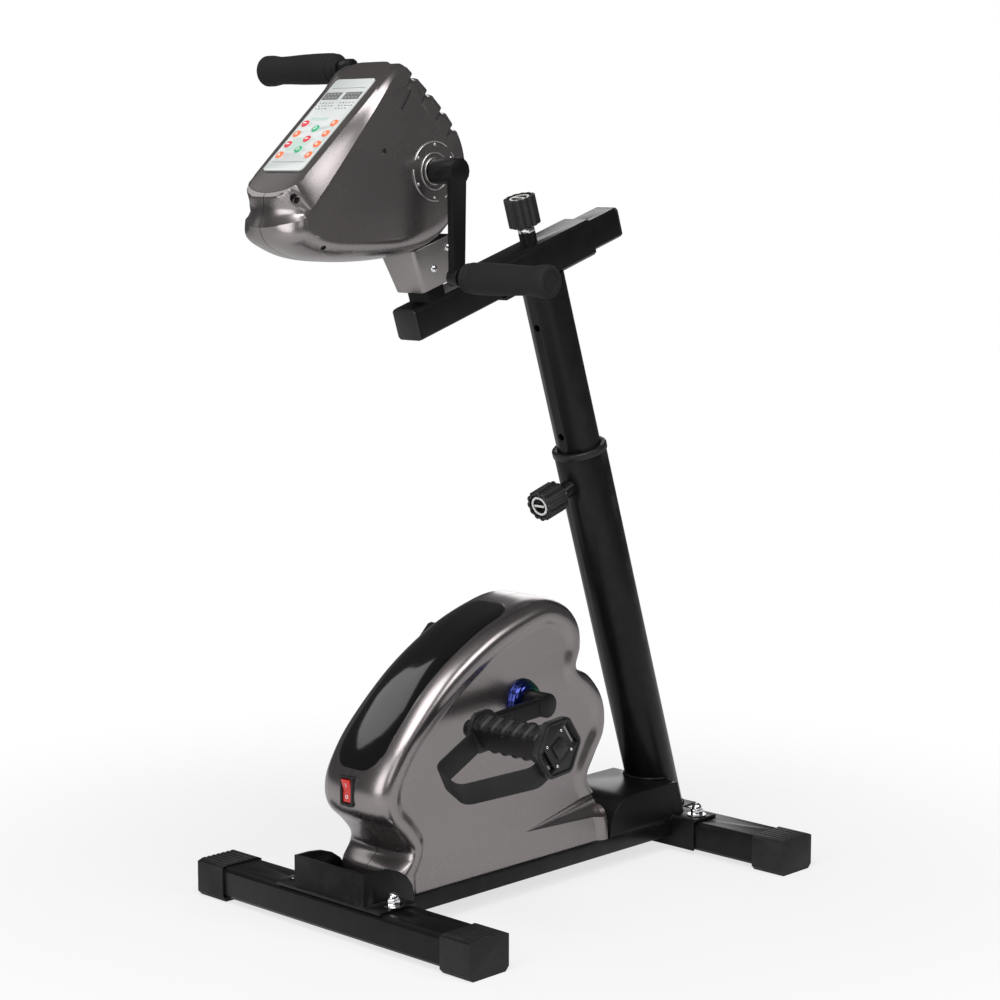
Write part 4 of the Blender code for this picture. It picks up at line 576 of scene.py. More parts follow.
# %% Outline stations
HOUSING_ROWS = (
    # outline behind the front foot and above the rail, side face, level share, power
    (0.362, -0.026, 0.358, -0.026, 0.60, 2.0), (0.362, 0.014, 0.357, 0.014, 0.60, 2.0),
    (0.358, 0.034, 0.351, 0.034, 0.60, 2.0), (0.342, 0.056, 0.334, 0.056, 0.60, 2.0),
    (0.329, 0.076, 0.319, 0.080, 0.60, 2.0), (0.343, 0.100, 0.331, 0.106, 0.60, 2.0),
    (0.357, 0.124, 0.344, 0.126, 0.60, 2.0), (0.360, 0.148, 0.346, 0.146, 0.60, 2.0),
    (0.353, 0.172, 0.340, 0.165, 0.60, 2.0), (0.335, 0.194, 0.324, 0.182, 0.60, 2.0),
    (0.311, 0.207, 0.300, 0.205, 0.60, 2.0), (0.318, 0.230, 0.304, 0.228, 0.60, 2.0),
    (0.315, 0.256, 0.301, 0.249, 0.60, 2.0), (0.297, 0.278, 0.286, 0.264, 0.55, 2.0),
    (0.262, 0.290, 0.258, 0.274, 0.50, 2.0), (0.220, 0.285, 0.223, 0.268, 0.40, 2.0),
    (0.162, 0.266, 0.172, 0.249, 0.25, 2.1), (0.098, 0.229, 0.111, 0.214, 0.10, 2.2),
    (0.040, 0.175, 0.056, 0.169, 0.00, 2.3), (0.011, 0.136, 0.030, 0.134, 0.00, 2.3),
    (0.003, 0.110, 0.022, 0.110, 0.00, 2.3), (0.009, 0.088, 0.027, 0.089, 0.00, 2.3),
    (0.029, 0.070, 0.044, 0.070, 0.10, 2.2), (0.043, 0.053, 0.055, 0.054, 0.20, 2.0),
    (0.045, 0.041, 0.053, 0.041, 0.20, 2.0), (0.030, 0.027, 0.045, 0.026, 0.30, 2.0),
    (0.030, 0.012, 0.044, 0.010, 0.30, 2.0), (0.030, -0.026, 0.044, -0.026, 0.30, 2.0),
)
HEAD_ROWS = (
    # the same from the upper axle, with the share of the half-width at that station
    (-0.1926, -0.0550, -0.1700, -0.0455, 0.12, 1.5, 0.90),
    (-0.1868, -0.0675, -0.1660, -0.0575, 0.16, 1.9, 0.93),
    (-0.1740, -0.0765, -0.1530, -0.0645, 0.14, 2.0, 0.93),
    (-0.1460, -0.0865, -0.1310, -0.0695, 0.15, 2.0, 0.97),
    (-0.1060, -0.0905, -0.0960, -0.0695, 0.15, 2.0, 1.00),
    (-0.0560, -0.0895, -0.0580, -0.0665, 0.15, 2.0, 1.00),
    (-0.0110, -0.0835, -0.0200, -0.0605, 0.20, 2.0, 1.00),
    (0.0200, -0.0695, 0.0100, -0.0485, 0.30, 2.0, 1.00),
    (0.0410, -0.0445, 0.0290, -0.0305, 0.45, 2.0, 1.00),
    (0.0500, -0.0135, 0.0400, -0.0085, 0.55, 2.0, 1.00),
    (0.0495, 0.0135, 0.0400, 0.0135, 0.55, 2.0, 1.00),
    (0.0410, 0.0395, 0.0320, 0.0335, 0.55, 2.0, 1.00),
    (0.0250, 0.0600, 0.0160, 0.0515, 0.55, 2.0, 1.00),
    (0.0045, 0.0785, -0.0040, 0.0695, 0.58, 2.0, 1.00),
    (-0.0160, 0.0945, -0.0240, 0.0865, 0.62, 2.0, 0.98),
    (-0.0315, 0.1055, -0.0370, 0.0995, 0.68, 1.8, 0.96),
    (-0.0460, 0.1037, -0.0490, 0.0985, 0.84, 1.0, 0.96),
    (-0.0860, 0.0675, -0.0836, 0.0575, 0.84, 1.0, 0.97),
    (-0.1360, 0.0224, -0.1280, 0.0055, 0.84, 1.0, 0.97),
    (-0.1700, -0.0084, -0.1600, -0.0325, 0.84, 1.0, 0.93),
    (-0.1815, -0.0190, -0.1650, -0.0375, 0.74, 1.0, 0.87),
    (-0.1868, -0.0250, -0.1675, -0.0405, 0.44, 1.2, 0.84),
    (-0.1868, -0.0390, -0.1690, -0.0430, 0.20, 1.3, 0.83),
)
HOUSING_HALF_WIDTH, HEAD_HALF_WIDTH = 0.050, 0.049
HOUSING_EDGES, HEAD_EDGES = (0, 27), (0, 15, 21)
OUTLINE_STEPS = 7
PARTING = 0.0002


# %% Skin of a moulded half
def curve_through(rows, steps, edges):
    """Points of a closed curve through the stations, with a kink at each edge station."""
    count = len(rows)
    points = []
    for index in range(count):
        before, start, end, after = (rows[(index + step) % count] for step in (-1, 0, 1, 2))
        before = start if index in edges else before
        after = end if (index + 1) % count in edges else after
        for step in range(steps):
            t = step / steps
            points.append(tuple(
                0.5 * (2 * b + (c - a) * t + (2 * a - 5 * b + 4 * c - d) * t * t
                       + (3 * b - a - 3 * c + d) * t ** 3)
                for a, b, c, d in zip(before, start, end, after)))
    return points


def skin_point(row, level, half_width):
    """A point of the skin: level 0 is the parting plane and 1 is the side face."""
    outer_y, outer_z, side_y, side_z, flat, power = row[:6]
    width = half_width * (row[6] if len(row) > 6 else 1.0)
    flat = max(flat, 0.0)
    reach = max(0.0, (level - flat) / (1.0 - flat))
    inset = 1.0 - max(0.0, 1.0 - reach ** power) ** (1.0 / power)
    return (level * width, outer_y + (side_y - outer_y) * inset,
            outer_z + (side_z - outer_z) * inset)


def step_in(ring, distance, drop):
    """A ring moved to its own inside by a distance, and towards the parting plane."""
    moved = []
    for index, (x, y, z) in enumerate(ring):
        before, after = ring[index - 1], ring[(index + 1) % len(ring)]
        along = Vector((after[1] - before[1], after[2] - before[2])).normalized()
        moved.append((x - drop, y - distance * along.y, z + distance * along.x))
    return moved


SKIN_LEVELS = [math.sin(math.radians(90.0 * step / 16)) for step in range(17)]


def shell_half(name, side, rows, edges, half_width, dish, where):
    """One closed half of a housing, from the parting plane out to its dished side."""
    fine = curve_through(rows, OUTLINE_STEPS, edges)
    rings = [[skin_point(row, level, half_width) for row in fine] for level in SKIN_LEVELS]
    rings[0] = [(PARTING, y, z) for _, y, z in rings[0]]
    rings.insert(0, step_in(rings[0], 0.0012, 0.0))
    rings[1] = [(PARTING + 0.0002, y, z) for _, y, z in rings[1]]
    for distance, drop in dish:
        rings.append(step_in(rings[-1], distance, drop))
    points = [(side * x, y, z) for ring in rings for x, y, z in ring]
    count = len(fine)
    faces = []
    for ring in range(len(rings) - 1):
        for index in range(count):
            following = (index + 1) % count
            face = [ring * count + index, ring * count + following,
                    (ring + 1) * count + following, (ring + 1) * count + index]
            faces.append(face if side > 0 else face[::-1])
    last = [(len(rings) - 1) * count + index for index in range(count)]
    first = list(range(count))
    faces.append(last if side > 0 else last[::-1])
    faces.append(first[::-1] if side > 0 else first)
    piece = new_piece(name, points, faces)
    piece.data.transform(where)
    return piece


def cut_with(piece, cutter):
    """Cuts one mesh out of another, exactly, and throws the cutter away."""
    boolean = piece.modifiers.new("cut", "BOOLEAN")
    boolean.operation = "DIFFERENCE"
    boolean.solver = "EXACT"
    boolean.object = cutter
    apply_modifiers(piece)
    bpy.data.objects.remove(cutter)


# %% [markdown]
# ### The lower housing
#
# The side of each half is dished: a narrow rim, then a soft slope down to the panel.
# Behind, above the rear toe, a long wedge runs from the waist into the side. The halves
# stand on the rail, so whatever hangs below it is cut off.

# %% Lower housing halves
DISH_RIM, DISH_SLOPE, DISH_DEPTH = 0.0035, 0.013, 0.0040
DISH_STEPS = 7
STAND = 0.0003               # the housing stands this far clear of the rail


def dish_steps():
    steps = [(DISH_RIM, 0.0)]
    before = 0.0
    for step in range(1, DISH_STEPS + 1):
        depth = DISH_DEPTH * (1.0 - math.cos(math.pi * step / DISH_STEPS)) / 2
        steps.append((DISH_SLOPE / DISH_STEPS, depth - before))
        before = depth
    return steps


def slice_below(piece, height):
    """Cuts off everything below a level and closes the cut."""
    in_edit(piece)
    bpy.ops.mesh.bisect(plane_co=(0.0, 0.0, height), plane_no=(0.0, 0.0, 1.0),
                        use_fill=True, clear_inner=True, threshold=0.00001)
    bpy.ops.object.mode_set(mode="OBJECT")


WEDGE_TIP, WEDGE_END = (0.2265, 0.0340), (0.352, 0.0460)
WEDGE_RADIUS = 0.019
WEDGE_OUT = (-0.0040, 0.0035)     # the cutter's axis outside the side face at tip and end


def wedge_cutter(side):
    """A long cone whose tip lies on the side face and whose end opens at the waist."""
    tip, end = (Vector((side * (HOUSING_HALF_WIDTH + out), *spot))
                for out, spot in zip(WEDGE_OUT, (WEDGE_TIP, WEDGE_END)))
    return rod("wedge", 0.0002, 0.0, (end - tip).length,
               housing_frame @ Matrix.Translation(tip) @ turn_to(end - tip), 64, WEDGE_RADIUS)


for side, word in SIDES:
    half = shell_half("housing_" + word, side, HOUSING_ROWS, HOUSING_EDGES,
                      HOUSING_HALF_WIDTH, dish_steps(), housing_frame)
    slice_below(half, rail_top + STAND)
    cut_with(half, wedge_cutter(side))
    finish_piece(half, "housing_skin_" + word, "base", "silver_shell", angle=30.0,
                 stands_for=("housing_" + word,))
print("housing faces", made["housing_skin_right"])

# %% [markdown]
# ### The head
#
# The head is moulded in the same way, without the dish. A pocket for the console and the
# axle's holes are cut into it.

# %% Head halves
CONSOLE_HALF_WIDTH, CONSOLE_TOP, CONSOLE_SHOULDER = 0.0380, 0.097, -0.078
CONSOLE_BOTTOM, CONSOLE_CORNER, CONSOLE_WALL = -0.0975, 0.022, 0.0022
CLEARANCE = 0.0003
HUB_HOLE, HUB_DEPTH = 0.0125, 0.012


def console_outline(margin):
    """The console seen square on: round corners above and a shallow bow below."""
    half = CONSOLE_HALF_WIDTH + margin
    corner = CONSOLE_CORNER + margin
    centre = CONSOLE_TOP + margin - corner
    points = []
    for sign, first in ((1, 0.0), (-1, 90.0)):
        for step in range(9):
            angle = math.radians(first + 90.0 * step / 8)
            points.append((sign * (half - corner) + corner * math.cos(angle),
                           centre + corner * math.sin(angle)))
    drop = CONSOLE_SHOULDER - CONSOLE_BOTTOM + margin
    for step in range(17):
        angle = math.pi * step / 16
        points.append((-half * math.cos(angle), CONSOLE_SHOULDER - drop * math.sin(angle)))
    return points


for side, word in SIDES:
    half = shell_half("head_" + word, side, HEAD_ROWS, HEAD_EDGES, HEAD_HALF_WIDTH, (),
                      head_frame)
    cut_with(half, slab("console_pocket", console_outline(CLEARANCE), -0.0026, 0.010, panel_frame))
    cut_with(half, rod("hub_hole", HUB_HOLE, HEAD_HALF_WIDTH - HUB_DEPTH, 0.08,
                       along_x(upper_axle, side)))
    finish_piece(half, "head_skin_" + word, "reach_bar", "silver_shell", angle=28.0,
                 stands_for=("head_shell_" + word,))
console = slab("console", console_outline(0.0), -CONSOLE_WALL, 0.0, panel_frame)
round_edges(console, 0.0005)
finish_piece(console, "console_plate", "reach_bar", "dark_console", stands_for=("head_console",))
print("head faces", made["head_skin_right"])

# %% [markdown]
# ### The gloss cover
#
# A black gloss strip lies in the top of the lower housing and follows its skin. It is a
# grid laid on the same stations, narrowed and rounded at its ends. It is thickened so
# that half a millimetre stands out of the skin and the rest lies inside.

# %% Gloss cover
COVER_ENDS = ((0.222, 0.286), (0.010, 0.140))
COVER_SHARE, COVER_ROUND = 0.66, 0.028
COVER_STATIONS, COVER_COLUMNS = 72, 20
COVER_LIFT, COVER_WALL = 0.0005, 0.0026
SPARE = 4                    # points of the outline kept past each end of the cover


def cover_grid():
    """Points of the cover's sheet, as rows along the housing."""
    fine = curve_through(HOUSING_ROWS, 6, HOUSING_EDGES)
    first, last = (min(range(len(fine)), key=lambda i: math.dist(fine[i][:2], end))
                   for end in COVER_ENDS)
    strip = fine[first - SPARE:last + SPARE + 1]
    lengths = [0.0]
    for before, after in zip(strip, strip[1:]):
        lengths.append(lengths[-1] + math.dist(before[:2], after[:2]))
    start, end = lengths[SPARE], lengths[-SPARE - 1]
    grid = []
    for station in range(COVER_STATIONS + 1):
        distance = (end - start) * (1.0 - math.cos(math.pi * station / COVER_STATIONS)) / 2
        edge = min(distance, end - start - distance) / COVER_ROUND
        narrow = 1.0 if edge >= 1.0 else 0.35 + 0.65 * math.sqrt(1.0 - (1.0 - edge) ** 2)
        index = 0
        while index < len(lengths) - 2 and lengths[index + 1] < start + distance:
            index += 1
        share = (start + distance - lengths[index]) / (lengths[index + 1] - lengths[index])
        row = tuple(a + (b - a) * share for a, b in zip(strip[index], strip[index + 1]))
        line = []
        for column in range(COVER_COLUMNS + 1):
            level = (2.0 * column / COVER_COLUMNS - 1.0) * narrow
            level *= COVER_SHARE
            x, y, z = skin_point(row, abs(level), HOUSING_HALF_WIDTH)
            line.append(Vector((math.copysign(x, level), y, z)))
        grid.append(line)
    return grid


grid = cover_grid()
count = COVER_COLUMNS + 1
cover = new_piece("cover", [point for line in grid for point in line],
                  [[row * count + column + 1, row * count + column,
                    (row + 1) * count + column, (row + 1) * count + column + 1]
                   for row in range(COVER_STATIONS) for column in range(COVER_COLUMNS)])
wall = cover.modifiers.new("wall", "SOLIDIFY")
wall.thickness = COVER_WALL
wall.offset = -1.0 + 2.0 * COVER_LIFT / COVER_WALL
apply_modifiers(cover)
round_edges(cover, 0.0005, 2, 50.0)
cover.data.transform(housing_frame)
finish_piece(cover, "gloss_cover", "base", "gloss_black", stands_for=("housing_top_cover",))
print("cover faces", made["gloss_cover"])

# %% [markdown]
# ## Turned parts
#
# Washers, domes, hub bells, grips and rings are round, so each is a profile that is
# spun: one point, then an extrusion for each corner, and a full turn round the Z axis.

# %% Turning
def turned(name, profile, where, sides=48):
    """Spins a profile of (radius, height) corners round the Z axis of a frame."""
    bpy.ops.object.select_all(action="DESELECT")
    bpy.ops.mesh.primitive_plane_add(size=0.001)
    piece = bpy.context.object
    piece.name = name
    in_edit(piece)
    bpy.ops.mesh.merge(type="CENTER")
    bpy.ops.transform.translate(value=(profile[0][0], 0.0, profile[0][1]))
    here = profile[0]
    for corner in profile[1:]:
        step = (corner[0] - here[0], 0.0, corner[1] - here[1])
        bpy.ops.mesh.extrude_vertices_move(TRANSFORM_OT_translate={"value": step})
        here = corner
    bpy.ops.mesh.select_all(action="SELECT")
    return spun(piece, sides, 2 * math.pi, 0.000005, where)


def band(inner, outer, low, high):
    """A closed profile of a flat ring."""
    return [(inner, low), (outer, low), (outer, high), (inner, high), (inner, low)]


def quarter(centre, radius, first, last, steps):
    """Corners of an arc in a profile, from one angle to another in degrees."""
    points = []
    for step in range(steps + 1):
        angle = math.radians(first + (last - first) * step / steps)
        points.append((centre[0] + radius * math.cos(angle),
                       centre[1] + radius * math.sin(angle)))
    return points


# %% Bolts
# A carriage bolt through each foot: a spring washer, a hexagon and a domed cap.
BOLTS = ("bolt_front_right", "bolt_front_left", "bolt_rear_right", "bolt_rear_left")
WASHER_RADIUS, NUT_RADIUS = 0.011, 0.0075
BOLT_SHOW = 0.0130           # from the washer's seat to the top of the dome
for node in BOLTS:
    low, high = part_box(node)
    centre = (low + high) / 2
    seat = high.z - BOLT_SHOW
    where = Matrix.Translation((centre.x, centre.y, seat))
    washer = turned(node + "_washer", [(0.0, 0.0), (WASHER_RADIUS - 0.0004, 0.0),
                                       (WASHER_RADIUS, 0.0004), (WASHER_RADIUS, 0.0012),
                                       (WASHER_RADIUS - 0.0004, 0.0016), (0.0, 0.0016)], where)
    finish_piece(washer, node + "_washer", "base", "chrome", stands_for=(node,))
    nut = rod(node + "_nut", NUT_RADIUS, 0.0016, 0.0078, where, sides=6)
    round_edges(nut, 0.0006, 2)
    finish_piece(nut, node + "_nut", "base", "chrome")
    dome = turned(node + "_dome", [(0.0, 0.0066), (0.0060, 0.0066), (0.0060, 0.0082)]
                  + quarter((0.0, 0.0088), 0.0058, 8.0, 90.0, 8), where)
    finish_piece(dome, node + "_dome", "base", "chrome", angle=50.0)
print("bolt seat above the floor", round(seat, 4))

# %% [markdown]
# ## Hubs
#
# The lower hub wears a plated bell on each side. On the head, the axle comes out of a
# sunken bearing with a bright rim, and a ring of ribs and dimples is moulded round it.

# %% Hub bells and the head's hubs
BELL_RADIUS, BELL_BORE, BELL_HEIGHT = 0.0240, 0.0146, 0.0125
BELL_SEAT = HOUSING_HALF_WIDTH - DISH_DEPTH
RIB_RING, RIM_RING, DIMPLE_RING = 0.0300, 0.0187, 0.0268
RIB_WIDTH, RIB_STEPS = 0.0008, 40
DIMPLES = 6


def ring_bar(name, radius, thickness, first, last, where):
    """A thin round rib bent along part of a circle, with closed round ends."""
    bpy.ops.object.select_all(action="DESELECT")
    bpy.ops.mesh.primitive_circle_add(vertices=10, radius=thickness, fill_type="NGON",
                                      location=(radius, 0.0, 0.0),
                                      rotation=(math.pi / 2, 0.0, 0.0))
    piece = bpy.context.object
    bpy.ops.object.transform_apply(location=True, rotation=True, scale=True)
    piece.data.transform(Matrix.Rotation(math.radians(first), 4, "Z"))
    piece.name = name
    in_edit(piece)
    return spun(piece, RIB_STEPS, math.radians(last - first), 0.00001, where)


for side, word in SIDES:
    profile = [(BELL_BORE, 0.0005), (BELL_RADIUS, 0.0005), (BELL_RADIUS, 0.0020)]
    for step in range(1, 10):
        angle = math.radians(10.0 * step)
        profile.append((BELL_BORE + (BELL_RADIUS - 0.0012 - BELL_BORE) * math.cos(angle),
                        0.0022 + (BELL_HEIGHT - 0.0022) * math.sin(angle)))
    profile += [(BELL_BORE, BELL_HEIGHT), (BELL_BORE, 0.0005)]
    seat = along_x((side * BELL_SEAT, lower_axle.y, lower_axle.z), side)
    bell = turned("bell_" + word, profile, seat, 64)
    # The bell's blue and green are painted sheen, from its finish.
    finish_piece(bell, "hub_bell_" + word, "base", "blue_dome", angle=40.0,
                 stands_for=("hub_dome_" + word,))

    face = along_x((side * HEAD_HALF_WIDTH, upper_axle.y, upper_axle.z), side)
    bearing = turned("bearing_" + word,
                     [(0.0088, -0.0105), (0.0124, -0.0105), (0.0124, -0.0060),
                      (0.0112, -0.0050), (0.0088, -0.0050), (0.0088, -0.0105)], face)
    finish_piece(bearing, "bearing_" + word, "reach_bar", "black_plastic")
    rim = turned("rim_" + word, quarter((0.0134, 0.0), 0.0009, 0.0, 360.0, 12), face, 64)
    finish_piece(rim, "hub_rim_" + word, "reach_bar", "steel", angle=60.0)
    rim = turned("outer_rim_" + word, quarter((RIM_RING, 0.0), RIB_WIDTH, 0.0, 360.0, 10), face, 72)
    finish_piece(rim, "hub_outer_rim_" + word, "reach_bar", "steel", angle=60.0)
    for index in range(DIMPLES):
        angle = 360.0 * index / DIMPLES
        spot = (DIMPLE_RING * math.cos(math.radians(angle)),
                DIMPLE_RING * math.sin(math.radians(angle)), 0.0)
        dimple = turned("dimple", [(0.0, 0.0010), (0.0013, 0.0008), (0.0019, 0.0),
                                   (0.0019, -0.0006), (0.0, -0.0006)],
                        face @ Matrix.Translation(spot), 20)
        finish_piece(dimple, "hub_stud_%s_%d" % (word, index), "reach_bar", "steel", angle=50.0)
        if index % 2 == 0:
            rib = ring_bar("rib", RIB_RING, RIB_WIDTH, angle + 9.0, angle + 111.0, face)
            finish_piece(rib, "hub_rib_%s_%d" % (word, index), "reach_bar", "steel", angle=60.0)
print("hub pieces", sum(1 for name in made if name.startswith("hub_")))

# %% [markdown]
# ## Grips
#
# A grip is a foam sleeve on a plastic core. It swells at its outer end, where a dished
# disc closes it, and thins to a neck with two beads at the inner end. The profile stops
# just inside the bore, so this mesh is open there.

# %% Grips
GRIP_START, GRIP_END, GRIP_RADIUS, GRIP_BORE = 0.092, 0.211, 0.0165, 0.0062


def grip_profile():
    start, end, radius = GRIP_START, GRIP_END, GRIP_RADIUS
    disc = [(0.0, end - 0.0012), (0.0085, end - 0.0012), (0.0093, end - 0.0004),
            (0.0103, end - 0.0010), (0.0112, end - 0.0003)]
    lip = quarter((radius - 0.0035, end - 0.0038), 0.0035, 80.0, 0.0, 5)
    body = [(radius, end - 0.012), (radius - 0.0008, end - 0.018), (radius - 0.0018, end - 0.025),
            (radius - 0.0015, end - 0.040), (radius - 0.0006, end - 0.060),
            (radius - 0.0002, start + 0.036), (radius - 0.0002, start + 0.018)]
    neck = [(radius - 0.0010, start + 0.0155), (radius - 0.0004, start + 0.0140),
            (radius - 0.0004, start + 0.0115), (radius - 0.0022, start + 0.0100),
            (radius - 0.0022, start + 0.0085), (radius - 0.0012, start + 0.0072),
            (radius - 0.0014, start + 0.0048), (radius - 0.0040, start + 0.0030),
            (radius - 0.0066, start + 0.0022), (radius - 0.0074, start)]
    return disc + lip + body + neck + [(GRIP_BORE, start), (GRIP_BORE, start + 0.003)]


for side, word in SIDES:
    tip = joint_place[word + "_grip_spin"]
    piece = turned("grip_" + word, grip_profile(), along_x((0.0, tip.y, tip.z), side), 56)
    finish_piece(piece, "foam_" + word, word + "_grip", "grip_foam", angle=32.0,
                 stands_for=("grip_" + word,))
print("grip faces", made["foam_right"])

# %% [markdown]
# ## Lock knobs
#
# The two lock knobs are fluted caps with a sunken face, a white printed ring and a bar
# that shows which way they are turned. Behind each are the chrome barrel of the frame
# and a thin lock nut.

# %% Knobs
KNOB_RADIUS, KNOB_LENGTH, KNOB_FLUTES = 0.0180, 0.030, 12
LOCK_RISE, MAST_RADIUS, BOSS_LENGTH, BARREL_SHOW = 0.468, 0.030, 0.012, 0.009
SLEEVE_OUTER, REACH_LOCK_STATION = 0.0206, -0.008
KNOB_INSETS = (
    # face that looks up or down, then the thickness and depth of each inset
    (1, ((0.0012, 0.0010), (0.0022, 0.0), (0.0004, -0.0016))), (-1, ((0.0015, 0.0012),)),
)


def fluted_outline():
    """A circle with rounded flutes, as one closed line."""
    points = []
    for step in range(KNOB_FLUTES * 12):
        angle = 2 * math.pi * step / (KNOB_FLUTES * 12)
        wave = 0.5 + 0.5 * math.cos(KNOB_FLUTES * angle)
        radius = KNOB_RADIUS - 0.0017 * (1.0 - wave) ** 2
        points.append((radius * math.cos(angle), radius * math.sin(angle)))
    return points


def knob_body(name):
    """Fluted cap along Z from 0 to its length, with a sunken face."""
    piece = slab(name, fluted_outline(), 0.0, KNOB_LENGTH, Matrix.Identity(4))
    for way, insets in KNOB_INSETS:
        in_edit(piece, "DESELECT")
        bpy.ops.mesh.select_mode(type="FACE")
        bpy.ops.object.mode_set(mode="OBJECT")
        for face in piece.data.polygons:
            face.select = way * face.normal.z > 0.9
        bpy.ops.object.mode_set(mode="EDIT")
        for thickness, depth in insets:
            bpy.ops.mesh.inset(thickness=thickness, depth=depth)
        bpy.ops.object.mode_set(mode="OBJECT")
    return piece


lock_frames = {
    "height": (mast_frame @ Matrix.Translation((0.0, 0.0, LOCK_RISE))
               @ Matrix.Rotation(math.pi / 2, 4, "X"), MAST_RADIUS, "base"),
    "reach": (bar_frame @ Matrix.Translation((0.0, REACH_LOCK_STATION, 0.0)), SLEEVE_OUTER,
              "upper_mast"),
}
for word, (place, surface, holder) in lock_frames.items():
    low = surface + BOSS_LENGTH + BARREL_SHOW + CLEARANCE
    where = place @ Matrix.Translation((0.0, 0.0, low))
    body = knob_body("knob")
    body.data.transform(where)
    finish_piece(body, word + "_knob_cap", word + "_knob", "black_plastic",
                 stands_for=(word + "_lock_knob",), angle=30.0)
    face_z = KNOB_LENGTH + 0.0004
    ring = turned("ring", band(0.0088, 0.0112, face_z - 0.0010, face_z - 0.0002), where)
    finish_piece(ring, word + "_knob_ring", word + "_knob", "key_print")
    bar = slab("bar", [(-0.0072, -0.0013), (0.0072, -0.0013), (0.0072, 0.0013),
                       (-0.0072, 0.0013)], face_z - 0.0010, face_z - 0.0001,
               where)
    round_edges(bar, 0.0003)
    finish_piece(bar, word + "_knob_bar", word + "_knob", "key_print")
    nut = rod("nut", 0.0098, BOSS_LENGTH + 0.0002, BOSS_LENGTH + 0.0052,
              place @ Matrix.Translation((0.0, 0.0, surface)), sides=6)
    round_edges(nut, 0.0005)
    finish_piece(nut, word + "_lock_nut", holder, "chrome")
print("knob cap faces", made["height_knob_cap"])

# %% [markdown]
# ## Screws, weld beads and small hardware
#
# A frame shows how it was put together: a bead of weld round the mast's foot, pan screws
# in the neck, and the nut and tip of one machine screw at the back of the mast.

# %% Screws and welds
def pan_screw(name, body, radius, where):
    """A low domed head with a sunken cross, its seat at the frame's origin."""
    head = turned(name, [(0.0, -0.0010), (radius, -0.0010), (radius, 0.0004)]
                  + [(radius * math.cos(math.radians(a)), 0.0004 + 0.55 * radius
                      * math.sin(math.radians(a))) for a in (15, 30, 45, 60, 75, 90)], where, 32)
    for turn in (0.0, math.pi / 2):
        slot = slab("slot", [(-0.55 * radius, -0.13 * radius), (0.55 * radius, -0.13 * radius),
                             (0.55 * radius, 0.13 * radius), (-0.55 * radius, 0.13 * radius)],
                    0.30 * radius, 0.9 * radius, where @ Matrix.Rotation(turn, 4, "Z"))
        cut_with(head, slot)
    return finish_piece(head, name, body, "chrome", angle=40.0)


NECK_SCREWS = ((-0.0035, 0.051), (0.0205, 0.066))     # along the bar, up the cover
NECK_FOOT_HALF, NECK_FLARE = 0.0205, 0.0065            # half width at the foot, and its growth
NECK_FOOT_RISE, NECK_HEIGHT = 0.030, 0.048
neck_frame = bar_frame @ Matrix.Translation((0.0, POST_STATION, 0.0))
for side, word in SIDES:
    for index, (along, rise) in enumerate(NECK_SCREWS):
        half = NECK_FOOT_HALF + NECK_FLARE * (rise - NECK_FOOT_RISE) / NECK_HEIGHT
        spot = neck_frame @ Vector((side * half, along, rise))
        pan_screw("neck_screw_%s_%d" % (word, index), "reach_bar", 0.0044,
                  along_x(spot, side))

MAST_SCREW_RISE = 0.437
screw_place = (mast_frame @ Matrix.Translation((0.0, MAST_RADIUS, MAST_SCREW_RISE))
               @ Matrix.Rotation(-math.pi / 2, 4, "X"))
nut = rod("mast_nut", 0.0062, -0.0006, 0.0045, screw_place, sides=6)
round_edges(nut, 0.0006)
finish_piece(nut, "mast_nut", "base", "steel")
tip = turned("mast_screw_tip", [(0.0, 0.004), (0.0032, 0.004), (0.0032, 0.0078),
                                (0.0026, 0.0084), (0.0, 0.0084)], screw_place, 24)
finish_piece(tip, "mast_screw_tip", "base", "steel")


def curve_along(name, kind, path, shares, radius, rounding):
    """A curve through points, with a round section whose radius is a share at each."""
    curve = bpy.data.curves.new(name, "CURVE")
    curve.dimensions = "3D"
    curve.bevel_depth = radius
    curve.bevel_resolution = rounding
    curve.resolution_u = 5
    line = curve.splines.new(kind)
    line.points.add(len(path) - 1)
    for place, point, share in zip(line.points, path, shares):
        place.co = (*point, 1.0)
        place.radius = share
    return curve, line


def as_mesh(name, curve):
    pick_up(in_scene(name, curve))
    bpy.ops.object.convert(target="MESH")
    return bpy.context.object


def weld_bead(name, path, radius, body):
    """A wavy bead along a line of points, as overlapping drops of metal leave it."""
    shares = [1.0 + 0.16 * math.sin(2.4 * index) for index in range(len(path))]
    curve, line = curve_along(name, "POLY", path, shares, radius, 3)
    line.use_cyclic_u = True
    return finish_piece(as_mesh(name, curve), name, body, "black_paint", angle=60.0)


WELD_POINTS, WELD_RADIUS = 120, 0.0021
foot_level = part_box("mast_foot")[1].z
plate_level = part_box("outer_mast")[0].z
bead = []
for step in range(WELD_POINTS):
    angle = 2 * math.pi * step / WELD_POINTS
    x, y = MAST_RADIUS * math.cos(angle), MAST_RADIUS * math.sin(angle)
    # Where the mast's surface line at this angle meets the foot plate's level.
    start = mast_frame @ Vector((x, y, 0.0))
    up = mast_frame.to_3x3() @ Vector((0.0, 0.0, 1.0))
    level = foot_level if y < -0.006 else plate_level
    bead.append(start + up * ((level + 0.0004 - start.z) / up.z))
weld_bead("mast_weld", bead, WELD_RADIUS, "base")
print("weld bead points", len(bead), "foot level", round(foot_level, 4))

# %% [markdown]
# ## Louvres, wells and slots of the head
#
# The back of the head is scalloped by four grooves whose ends run round on to the sides.
# Each half has three screw wells: one in its side, one low in the nose and one in the
# nose's front. A thin slot runs down each side in front of the grooves. All of them are
# cut into the two skins.

